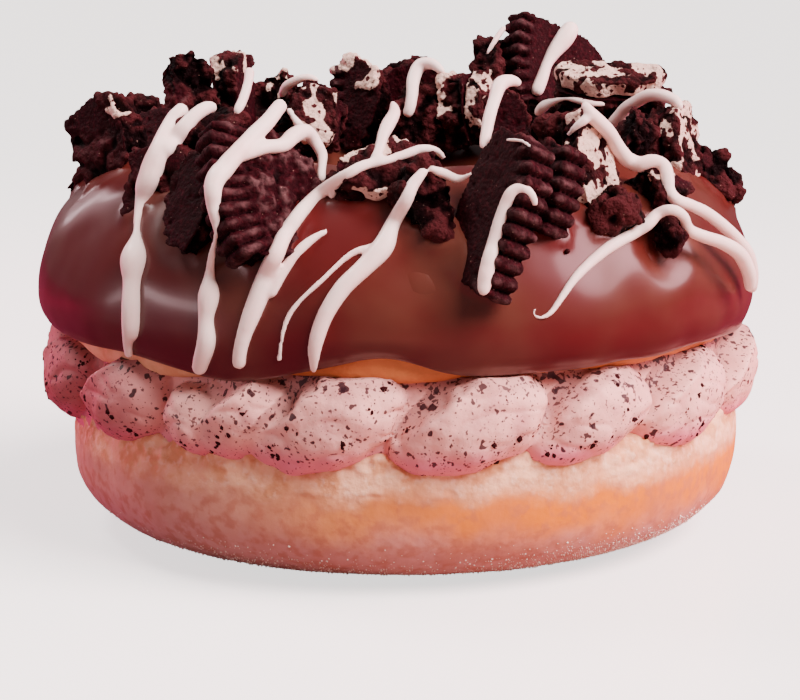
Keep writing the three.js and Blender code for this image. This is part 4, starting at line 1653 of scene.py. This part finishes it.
@dataclass
class Biscuits:
    """The broken biscuits, each made over the hull of its own solid.

    voxel is how fine their meshes are and passes how soft. biscuit_radius, ridge_pitch and
    ridge_depth are the size of a whole biscuit and of the ridges round its rim, and nugget_size and
    nugget_height that of the bumps on an embossed face. flatness is how far a face of a solid may be
    off its plane. strand_radius and strand_margin say how much round a fused strand is left out of a
    chunk's hull, and fewest how many points are enough for a hull.
    """

    voxel: float = 0.26
    passes: int = 3
    biscuit_radius: float = 22.5
    ridge_pitch: float = 1.8
    ridge_depth: float = 1.1
    nugget_size: float = 2.3
    nugget_height: float = 0.9
    wafer_thickness: float = 3.6
    layer_thickness: float = 2.1
    flatness: float = 0.12
    strand_radius: float = 1.25
    strand_margin: float = 1.15
    fewest: int = 12

    def main_planes(
        self, points: np.ndarray, corners: np.ndarray, thickness: float
    ) -> tuple[np.ndarray, float, float]:
        """Find the two flat faces of a slab among whatever is fused on it.

        Args:
            points: The solid's places.
            corners: Three places' numbers for each triangle.
            thickness: How thick the slab is.

        Returns:
            The direction that the first face looks in, and how far along it the faces lie.
        """
        places = points[corners]
        crossed = np.cross(places[:, 1] - places[:, 0], places[:, 2] - places[:, 0])
        areas = np.linalg.norm(crossed, axis=1) / 2
        normals = crossed / np.maximum(1e-9, 2 * areas)[:, None]
        offsets = np.einsum("ij,ij->i", normals, places.mean(axis=1))
        level = (normals @ normals.T > 0.9985) & (np.abs(offsets[:, None] - offsets) < self.flatness)
        group = level[int(np.argmax(level @ areas))]
        axis = (normals[group] * areas[group, None]).sum(axis=0)
        axis /= np.linalg.norm(axis)
        first = float((places[group].reshape(-1, 3) @ axis).mean())
        along = points @ axis
        far_side = sum(np.abs(along - first + thickness) < self.flatness)
        if far_side or along.min() < first - thickness / 2:
            return axis, first, first - thickness
        return axis, first, first

    def slab(self, node: str) -> tuple[bmesh.types.BMesh, np.ndarray, float]:
        """Wrap a slab, without the strands fused on it, in its hull.

        Args:
            node: The solid's node.

        Returns:
            The hull in millimetres, the direction its face looks in and how far along its middle is.
        """
        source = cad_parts[node].data
        points = points_of(source) / METRES
        source.calc_loop_triangles()
        triangles = np.array([triangle.vertices[:] for triangle in source.loop_triangles])
        thickness = self.layer_thickness if node.endswith("_cream") else self.wafer_thickness
        axis, first, second = self.main_planes(points, triangles, thickness)
        along = points @ axis
        upper = points[np.abs(along - first) < self.flatness]
        lower = points[np.abs(along - second) < self.flatness]
        places = np.vstack((upper, upper - axis * thickness, lower, lower + axis * thickness))
        return self.hull(places), axis, (first + second) / 2

    def bare_lump(self, node: str) -> bmesh.types.BMesh:
        """Wrap a rough chunk, without the strands fused on it, in its hull.

        Args:
            node: The solid's node.

        Returns:
            The hull in millimetres.
        """
        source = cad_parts[node].data
        points = points_of(source) / METRES
        tree = ground_tree([source], 1 / METRES)
        fused = np.zeros(len(points), bool)
        for strand in STRANDS:
            eye, looks, _ = strand.looks(0.6)
            for look in looks:
                hit, _, _, _ = tree.ray_cast(eye.tolist(), look.tolist())
                if hit is not None:
                    centre = np.array(hit) + look * self.strand_radius
                    reach = self.strand_radius * self.strand_margin
                    fused |= np.linalg.norm(points - centre, axis=1) < reach
        enough = (~fused).sum() > self.fewest
        return self.hull(points[~fused] if enough else points)

    def hull(self, places: np.ndarray) -> bmesh.types.BMesh:
        """Wrap places in their hull.

        Args:
            places: Rows of x, y and z.

        Returns:
            The closed hull.
        """
        shape = bmesh.new()
        for place in places:
            shape.verts.new(place)
        bmesh.ops.remove_doubles(shape, verts=shape.verts, dist=0.02)
        result = bmesh.ops.convex_hull(shape, input=shape.verts, use_existing_faces=False)
        loose = [part for part in result["geom_interior"] if isinstance(part, bmesh.types.BMVert)]
        bmesh.ops.delete(shape, geom=loose, context="VERTS")
        bmesh.ops.recalc_face_normals(shape, faces=shape.faces)
        return shape

    def rim_relief(
        self, points: np.ndarray, rim: RimFrame, flat: np.ndarray, embossed: bool
    ) -> tuple[np.ndarray, np.ndarray]:
        """Shape the pillows that stand side by side round a biscuit's rim, and its embossed face.

        Args:
            points: The piece's surface.
            rim: Where its biscuit lies.
            flat: How much each place belongs to a flat face.
            embossed: Whether the face has rows of bumps.

        Returns:
            How far each place moves out, and how much it is baked surface.
        """
        local = rim.local(points)
        centre = rim.width / 2 - self.biscuit_radius
        radius = np.hypot(local[:, 0] - centre, local[:, 2])
        turn = np.arctan2(local[:, 2], local[:, 0] - centre)
        phase = (turn * self.biscuit_radius / self.ridge_pitch) % 1
        pillow = np.sqrt(np.maximum(0, 1 - (2 * phase - 1) ** 2))
        reach = self.biscuit_radius - rim.ridge
        on_rim = smooth_step(radius, reach - 1.2, reach + 0.3)
        nuggets = np.sqrt(np.clip(1.5 * grains(points, self.nugget_size, 9.1), 0, 1)) - 0.5
        nuggets += 0.45 * waves(points, 1.3, 4.2) + 0.3 * waves(points, 0.7, 2.6)
        face = flat * (1 - on_rim) * embossed
        uneven = 0.2 * waves(points, 1.2, 6.2)
        ridges = self.ridge_depth * (pillow - 0.75 + uneven)
        relief = on_rim * ridges + face * self.nugget_height * nuggets
        baked = smooth_step(radius, self.biscuit_radius - 1.9, self.biscuit_radius - 0.9)
        return relief, np.maximum(flat, baked)

    def wafer(self, node: str, seed: int) -> Mesh:
        """Make one wafer: flat baked faces and crumbly broken sides.

        Args:
            node: The solid's node.
            seed: Sets its own unevenness.

        Returns:
            The mesh in millimetres.
        """
        look = WAFERS.get(node, WaferLook())
        shape, axis, middle = self.slab(node)
        mesh = remeshed(shape, node, self.voxel, self.passes)
        if look.rim is None:
            put_points(mesh, self.softened(points_of(mesh), axis, look.softness))
        for spot, push, reach in look.pushes:
            points = points_of(mesh)
            near = np.exp(-((np.linalg.norm(points - np.array(spot), axis=1) / reach) ** 2))
            put_points(mesh, points + near[:, None] * np.array(push))
        points = points_of(mesh)
        normals = normals_of(mesh)
        half = self.wafer_thickness / 2
        flat = smooth_step(np.abs(points @ axis - middle), half - 0.7, half - 0.25)
        flat *= smooth_step(np.abs(normals @ axis), 0.6, 0.9)
        flat *= 1 - look.craggy * smooth_step(waves(points, 5.0, seed + 0.8), 0.4, 0.1)
        raised = np.zeros(len(points))
        if look.rim is not None:
            raised, flat = self.rim_relief(points, look.rim, flat, look.embossed)
        smear = np.full(len(points), look.smear)
        if look.patch is not None:
            *spot, reach = look.patch
            smear = np.maximum(0, 1 - np.linalg.norm(points - np.array(spot), axis=1) / reach)
        return self.roughened(mesh, 1 - flat, raised, smear, seed)

    def softened(self, points: np.ndarray, axis: np.ndarray, softness: float) -> np.ndarray:
        """Pull in the corners of a slab's outline.

        Args:
            points: The slab's surface.
            axis: The way its face looks.
            softness: How far the corners come in, from 0 to 1.

        Returns:
            The moved places.
        """
        centre = points.mean(axis=0)
        away = points - centre
        through = (away @ axis)[:, None] * axis
        in_plane = away - through
        spread, directions = np.linalg.eigh(in_plane.T @ in_plane / len(points))
        shares = in_plane @ directions[:, 1:] / np.sqrt(3 * spread[1:])
        reach = np.linalg.norm(shares, axis=1)
        scale = 1 - softness * np.maximum(0, reach - 1.02) / np.maximum(reach, 1)
        return centre + through + in_plane * scale[:, None]

    def lump(self, node: str, seed: int) -> Mesh:
        """Make one rough chunk, broken all over.

        Args:
            node: The solid's node.
            seed: Sets its own unevenness.

        Returns:
            The mesh in millimetres.
        """
        mesh = remeshed(self.bare_lump(node), node, self.voxel, self.passes)
        whole = np.ones(len(mesh.vertices))
        return self.roughened(mesh, whole, 0 * whole, 0 * whole, seed)

    def roughened(
        self, mesh: Mesh, broken: np.ndarray, raised: np.ndarray, smear: np.ndarray, seed: int
    ) -> Mesh:
        """Break up a surface, and note for the finish how it is.

        Args:
            mesh: The mesh to change.
            broken: How broken each place is, from 0 to 1.
            raised: How far each place stands out already.
            smear: How much cream each place still has on it, from 0 to 1.
            seed: Sets the unevenness.

        Returns:
            The same mesh.
        """
        points = points_of(mesh)
        normals = normals_of(mesh)
        swells = 1.3 * waves(points, 7.0, seed + 0.1)
        lumps = waves(points, 3.4, seed) + 0.5 * waves(points, 1.5, seed)
        crumbs = grains(points, 0.9, seed + 0.5)
        pits = smooth_step(waves(points, 1.7, seed + 0.9), 0.1, 0.5)
        rough = lumps + 0.55 * (crumbs - 0.5) - 0.9 * pits
        pores = smooth_step(waves(points, 0.9, seed + 0.3), 0.35, 0.6)
        smooth = 0.22 * waves(points, 4.0, seed + 0.2) + 0.12 * waves(points, 1.6, seed + 0.6)
        smooth -= 0.22 * pores
        rise = (points[:, 2] - points[:, 2].min()) / np.ptp(points[:, 2])
        patchy = waves(points, 3.0, seed + 0.7) + 0.7 * waves(points, 1.1, seed + 0.4) + 1.4 * (rise - 1)
        covered = smooth_step(patchy, 0.1 - 1.5 * smear, 0.6 - 1.5 * smear) * (smear > 0)
        relief = broken * (swells + rough) + (1 - broken) * smooth + 0.3 * covered + raised
        put_points(mesh, points + normals * relief[:, None])
        note_surface(mesh, broken, np.clip(0.55 + rough * broken + 0.9 * raised, 0, 1), covered)
        return mesh

    def layer(self, node: str, seed: int) -> Mesh:
        """Make one layer of sugar cream, soft and a little torn.

        Args:
            node: The solid's node.
            seed: Sets its own unevenness.

        Returns:
            The mesh in millimetres.
        """
        mesh = remeshed(self.slab(node)[0], node, self.voxel, self.passes)
        points = points_of(mesh)
        normals = normals_of(mesh)
        crumbly = CRUMBLY_CREAM.get(node, 0.0)
        patchy = waves(points, 2.3, seed + 0.6) + 0.5 * waves(points, 0.9, seed)
        cream = smooth_step(patchy, crumbly - 0.25, crumbly + 0.1)
        soft = 0.5 * waves(points, 3.0, seed) + 0.18 * waves(points, 1.2, seed + 0.4)
        crumbs = 0.5 * waves(points, 1.6, seed + 0.2) + 0.5 * (grains(points, 0.9, seed) - 0.4)
        relief = soft + (1 - cream) * crumbs
        put_points(mesh, points + normals * relief[:, None])
        note_surface(mesh, np.ones(len(points)), np.clip(0.5 + crumbs, 0, 1), cream)
        return mesh

    def meshes(self) -> dict[str, Mesh]:
        """Make the mesh of every biscuit node.

        Returns:
            The meshes by node name.
        """
        makers = {"wafer": self.wafer, "chunk": self.lump, "cream": self.layer}
        made = {}
        for seed, node in enumerate(sorted(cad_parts)):
            kind = node.rpartition("_")[2]
            if kind in makers:
                made[node] = makers[kind](node, seed)
        return made

    def build(self, meshes: dict[str, Mesh]) -> list[Object]:
        """Dress every biscuit.

        Args:
            meshes: Their meshes by node name.

        Returns:
            The pieces.
        """
        biscuit = BiscuitFinish().material()
        pieces = []
        for node, mesh in meshes.items():
            pieces.append(finish_piece(f"broken_{node}", mesh, biscuit, (node,)))
        return pieces


# The drizzle


@dataclass
class Drizzle:
    """The thick white drizzle: rounded strands that lie on whatever is below them and merge.

    step is how far apart a strand's places are and settle how far its bends are evened out. hang is
    how much deeper a strand may get for each millimetre along it, where what it lies on falls away.
    """

    step: float = 0.4
    settle: float = 0.9
    hang: float = 0.8
    voxel: float = 0.24
    passes: int = 5
    sides: int = 14

    def landed(self, strand: Strand, ground: BVHTree) -> np.ndarray:
        """Lay a strand on the ground, hanging where the ground falls away behind it.

        Args:
            strand: The strand.
            ground: Every surface that it may land on.

        Returns:
            Rows of x, y, z and radius.
        """
        eye, looks, radii = strand.looks(self.step)
        depths = np.full(len(looks), np.inf)
        normals = -looks
        for i, look in enumerate(looks):
            hit, normal, _, away = ground.ray_cast(eye.tolist(), look.tolist())
            if hit is not None:
                depths[i] = away
                normals[i] = normal
        along = np.arange(len(looks)) * self.step
        depths = (depths + self.hang * np.abs(along[:, None] - along)).min(axis=1)
        depths = self.softened(depths)
        normals = np.column_stack([self.softened(normals[:, i]) for i in range(3)])
        normals /= np.maximum(1e-6, np.linalg.norm(normals, axis=1))[:, None]
        radii = radii * depths / VIEW.route_distance
        places = eye + looks * depths[:, None] + normals * (0.2 * radii)[:, None]
        gone = np.concatenate(((0.0,), np.cumsum(np.linalg.norm(np.diff(places, axis=0), axis=1))))
        end = np.minimum(gone, gone[-1] - gone) + 0.15
        rounding = np.sqrt(np.clip(1 - (1 - np.minimum(1, end / np.maximum(radii, 0.1))) ** 2, 0.05, 1))
        return np.column_stack((places, radii * rounding))

    def softened(self, values: np.ndarray) -> np.ndarray:
        """Even out values along a strand.

        Args:
            values: One value for each step.

        Returns:
            The evened values.
        """
        half = 5
        kernel = np.exp(-((np.arange(-half, half + 1) * self.step / self.settle) ** 2))
        return np.convolve(np.pad(values, half, mode="edge"), kernel / kernel.sum(), mode="valid")

    def tube(self, stretch: np.ndarray) -> Mesh:
        """Turn a stretch into a closed tube.

        Args:
            stretch: Rows of x, y, z and radius.

        Returns:
            The tube's mesh.
        """
        curve = bpy.data.curves.new("strand", "CURVE")
        curve.dimensions = "3D"
        curve.bevel_depth = 1.0
        curve.bevel_resolution = self.sides // 4
        curve.use_fill_caps = True
        line = curve.splines.new("POLY")
        line.points.add(len(stretch) - 1)
        for point, (x, y, z, radius) in zip(line.points, stretch):
            point.co = (x, y, z, 1.0)
            point.radius = radius
        holder = bpy.data.objects.new("strand", curve)
        bpy.context.scene.collection.objects.link(holder)
        depsgraph = bpy.context.evaluated_depsgraph_get()
        mesh = bpy.data.meshes.new_from_object(holder.evaluated_get(depsgraph))
        bpy.data.objects.remove(holder)
        bpy.data.curves.remove(curve)
        return mesh

    def build(self, ground: BVHTree, nodes: tuple[str, ...]) -> Object:
        """Make and dress the drizzle.

        Args:
            ground: Every surface that it may land on.
            nodes: The solids that carry its strands.

        Returns:
            The piece's object.
        """
        shape = bmesh.new()
        for strand in STRANDS:
            tube = self.tube(self.landed(strand, ground))
            shape.from_mesh(tube)
            bpy.data.meshes.remove(tube)
        mesh = remeshed(shape, "white_drizzle", self.voxel, self.passes)
        return finish_piece("white_drizzle", mesh, DrizzleFinish().material(), nodes)


# Small things that lie about


@dataclass(frozen=True)
class Sprinkle:
    """Small grains of one kind that lie on a surface.

    small and large are the grains' radii in millimetres, sunk is the share of a radius that is
    below the surface, together is how many grains lie in a cluster, spread is the cluster's
    radius, and square makes the grains crystals.
    """

    name: str
    count: int
    small: float
    large: float
    sunk: float
    seed: int
    together: int = 1
    spread: float = 1.0
    square: bool = False

    def spots(self, places: np.ndarray, wanted: np.ndarray) -> list[int]:
        """Choose the vertices that carry a grain.

        Args:
            places: The surface's vertices.
            wanted: How likely each vertex is to carry a cluster.

        Returns:
            The vertices' numbers.
        """
        pick = np.random.default_rng(self.seed)
        clusters = self.count // self.together
        chosen = pick.choice(len(wanted), size=clusters, replace=False, p=wanted / wanted.sum())
        if self.together == 1:
            return chosen.tolist()
        spots = []
        for middle in chosen:
            near = np.flatnonzero(np.linalg.norm(places - places[middle], axis=1) < self.spread)
            spots += pick.choice(near, size=min(self.together, len(near)), replace=False).tolist()
        return spots

    def mesh(self, places: np.ndarray, normals: np.ndarray, wanted: np.ndarray) -> Mesh:
        """Strew the grains.

        Args:
            places: The surface's vertices.
            normals: The way out at each.
            wanted: How likely each vertex is to carry a grain.

        Returns:
            One mesh with all the grains.
        """
        draw = random.Random(self.seed)
        shape = bmesh.new()
        for i in self.spots(places, wanted):
            radius = self.small + (self.large - self.small) * draw.random() ** 2.6
            turn = draw.uniform(0, math.tau)
            spin = Matrix.Rotation(turn, 4, Vector((draw.random(), draw.random(), 1.0)))
            centre = Vector(places[i]) + Vector(normals[i]) * radius * (1 - 2 * self.sunk)
            matrix = Matrix.Translation(centre) @ spin
            if self.square:
                made = bmesh.ops.create_cube(shape, size=radius * 1.6, matrix=matrix)
            else:
                made = bmesh.ops.create_icosphere(shape, subdivisions=1, radius=radius, matrix=matrix)
            for corner in made["verts"]:
                corner.co = centre + (corner.co - centre) * draw.uniform(0.6, 1.25)
        mesh = mesh_from(shape, self.name)
        count = len(mesh.vertices)
        note_surface(mesh, np.ones(count), np.full(count, 0.5), np.zeros(count))
        return mesh


def strew_crumbs(surfaces: dict[str, tuple[np.ndarray, np.ndarray]], biscuits: BVHTree) -> None:
    """Strew biscuit crumbs on the glaze and in the cream, and sugar on the bun.

    Args:
        surfaces: The vertices and normals of the glaze, cream and lower half, by name.
        biscuits: The biscuits' surfaces.
    """
    lowest = 38.0
    furthest = 3.5
    nearest = 0.3
    biscuit = BiscuitFinish(name="biscuit_crumbs").material()
    places, normals = surfaces["glaze"]
    near = np.zeros(len(places))
    for i in np.flatnonzero(places[:, 2] > lowest):
        _, _, _, away = biscuits.find_nearest(places[i].tolist(), furthest)
        if away is not None and away > nearest:
            near[i] = math.exp(-away)
    crumbs = Sprinkle("glaze_crumbs", count=70, small=0.12, large=0.5, sunk=0.2, seed=71)
    finish_piece(crumbs.name, crumbs.mesh(places, normals, near), biscuit)
    places, normals = surfaces["cream"]
    outside = (np.hypot(places[:, 0], places[:, 1]) > 41.6).astype(float)
    bits = Sprinkle(
        "cream_bits", count=600, small=0.1, large=0.55, sunk=0.72, seed=73, together=5, spread=0.9
    )
    finish_piece(bits.name, bits.mesh(places, normals, outside), biscuit)
    places, normals = surfaces["bun"]
    front = front_angles(places)
    radius = np.hypot(places[:, 0], places[:, 1])
    low = smooth_step(places[:, 2], 0.5, 1.2) * smooth_step(places[:, 2], 6.5, 1.2)
    sides = hump(front, 44, 20) + 0.2 * hump(front, -20, 24) + 0.06
    sugar = Sprinkle("sugar_grains", count=3000, small=0.04, large=0.12, sunk=0.4, seed=74, square=True)
    grains_mesh = sugar.mesh(places, normals, low * sides * (radius > 30))
    finish_piece(sugar.name, grains_mesh, SugarFinish().material())


@dataclass(frozen=True)
class Softbox:
    """A rectangular light that looks at the doughnut.

    Its place and size are in metres and its power in watts. mirrored says whether glossy things
    mirror it.
    """

    name: str
    at: Spot
    size: tuple[float, float]
    power: float
    colour: Spot
    mirrored: bool = True


WHITE_LIGHT = (1.0, 0.88, 0.86)
ROSE_LIGHT = (1.0, 0.06, 0.35)
SOFTBOXES = (
    Softbox("window_right", (0.34, -0.08, 0.28), (0.3, 0.24), 2.8, (1.0, 0.56, 0.6)),
    Softbox("window_left", (-0.34, -0.13, 0.046), (0.23, 0.045), 0.25, (1.0, 0.72, 0.74)),
    Softbox("window_shoulder", (-0.24, 0.3, 0.15), (0.02, 0.1), 0.06, (1.0, 0.7, 0.74)),
    Softbox("window_top", (-0.2, 0.04, 0.34), (0.12, 0.1), 1.0, WHITE_LIGHT),
    Softbox("rim", (-0.3, 0.16, 0.04), (0.12, 0.1), 0.9, ROSE_LIGHT, mirrored=False),
    Softbox("rim", (0.3, 0.16, 0.04), (0.12, 0.1), 0.9, ROSE_LIGHT, mirrored=False),
)


@dataclass
class Studio:
    """The pale floor, the soft lights, the surroundings and the camera.

    background is how bright the shown backdrop is and fill how bright the unseen surroundings are.
    sun is the key light's strength, from sun_at and as wide as sun_angle. The floor glows for the
    camera, throws bounce_left and bounce_right back up, and is mirrored as a dark rose.
    """

    focal_pixels: float = 2051.67
    picture_width: float = 800.0
    sensor: float = 36.0
    floor_half: float = 60.0
    background: float = 12.0
    fill: float = 0.16
    sun: float = 8.6
    sun_at: Spot = (0.7, -0.52, 0.95)
    sun_angle: float = 38.0
    aim: Spot = (0, 0, 0.035)
    glow: float = 1.6
    bounce_left: Colour = (0.13, 0.08, 0.085, 1.0)
    bounce_right: Colour = (0.54, 0.36, 0.31, 1.0)
    bounce_ends: Ends = (-60.0, 60.0)
    mirrored: Colour = (0.13, 0.018, 0.042, 1.0)

    def camera(self) -> None:
        """Place the camera where the photograph was taken from."""
        data = bpy.data.cameras.new("camera")
        data.sensor_width = self.sensor
        data.lens = self.focal_pixels / self.picture_width * self.sensor
        data.clip_start = 0.01
        camera = bpy.data.objects.new("camera", data)
        camera.location = (0.0005, -VIEW.distance * METRES, VIEW.height * METRES)
        camera.rotation_euler = (math.radians(90 - VIEW.tilt), 0, 0)
        bpy.context.scene.collection.objects.link(camera)
        bpy.context.scene.camera = camera

    def floor(self) -> None:
        """Lay the pale, slightly glossy floor. It throws a dim rosy light back up, more on the right."""
        shape = bmesh.new()
        bmesh.ops.create_grid(shape, x_segments=1, y_segments=1, size=self.floor_half)
        floor = bpy.data.objects.new("floor", mesh_from(shape, "floor"))
        floor.location.z = -0.0002
        bpy.context.scene.collection.objects.link(floor)
        material, pad, shader, place = new_material("pale_floor")
        pad.fill(
            shader,
            Base_Color=(0.9, 0.86, 0.85, 1),
            Roughness=0.3,
            Emission_Color=(1, 0.97, 0.96, 1),
            Emission_Strength=self.glow,
        )
        ray = pad.add("ShaderNodeLightPath").outputs
        across = pad.between(pad.axis(place, "X"), self.bounce_ends)
        colour = pad.blend(across, self.bounce_left, self.bounce_right)
        colour = pad.blend(ray["Is Glossy Ray"], colour, self.mirrored)
        dim = pad.add("ShaderNodeBsdfDiffuse", Color=colour)
        shown = pad.mixed(ray["Is Camera Ray"], dim.outputs[0], shader.outputs[0])
        pad.fill(material.node_tree.nodes["Material Output"], Surface=shown)
        floor.data.materials.append(material)

    def lamp(
        self, name: str, kind: str, at: tuple[float, ...], power: float, colour: tuple[float, ...]
    ) -> Object:
        """Hang a light that looks at the doughnut.

        Args:
            name: The light's name.
            kind: Its type.
            at: Its place in metres.
            power: Its strength.
            colour: Its colour.

        Returns:
            The light.
        """
        data = bpy.data.lights.new(name, kind)
        data.energy = power
        data.color = colour
        light = bpy.data.objects.new(name, data)
        light.location = at
        light.rotation_euler = (Vector(self.aim) - Vector(at)).to_track_quat("-Z", "Y").to_euler()
        light.visible_camera = False
        bpy.context.scene.collection.objects.link(light)
        return light

    def lights(self) -> None:
        """Hang the key light and the softboxes."""
        key = self.lamp("key", "SUN", self.sun_at, self.sun, WHITE_LIGHT)
        key.data.angle = math.radians(self.sun_angle)
        key.visible_glossy = False
        for box in SOFTBOXES:
            light = self.lamp(box.name, "AREA", box.at, box.power, box.colour)
            light.data.shape = "RECTANGLE"
            light.data.size, light.data.size_y = box.size
            light.visible_glossy = box.mirrored

    def surroundings(self) -> None:
        """Show a white background, and light the doughnut more dimly from all round."""
        world = bpy.data.worlds.new("surroundings")
        world.use_nodes = True
        tree = world.node_tree
        pad = NodePad(tree)
        shown = tree.nodes["Background"]
        pad.fill(shown, Color=(1, 1, 1, 1), Strength=self.background)
        around = pad.add("ShaderNodeBackground", Color=(1.0, 0.8, 0.82, 1), Strength=self.fill)
        seen = pad.add("ShaderNodeLightPath").outputs["Is Camera Ray"]
        light = pad.mixed(seen, around.outputs[0], shown.outputs[0])
        pad.fill(tree.nodes["World Output"], Surface=light)
        bpy.context.scene.world = world

    def build(self) -> None:
        """Set everything up."""
        self.camera()
        self.floor()
        self.surroundings()
        self.lights()


def main() -> None:
    """Build the doughnut piece by piece and set up the studio."""
    logging.basicConfig(level=logging.INFO, format="%(name)s: %(message)s")
    sizes = RingSizes()
    Studio().build()
    bun = LowerBun(sizes).build()
    UpperBun(sizes).build()
    cream = CreamFilling(sizes).build()
    biscuits = Biscuits()
    biscuit_meshes = biscuits.meshes()
    biscuit_tree = ground_tree(list(biscuit_meshes.values()))
    glaze = Glaze(sizes)
    glaze_mesh = glaze.mesh()
    ground = ground_tree([*biscuit_meshes.values(), glaze_mesh])
    Drizzle().build(ground, ("chocolate_glaze",))
    poured = glaze.build(glaze_mesh, biscuit_tree)
    biscuits.build(biscuit_meshes)
    surfaces = {}
    for name, piece in (("glaze", poured), ("cream", cream), ("bun", bun)):
        surfaces[name] = (points_of(piece.data) / METRES, normals_of(piece.data))
    strew_crumbs(surfaces, biscuit_tree)


if __name__ == "__main__":
    main()
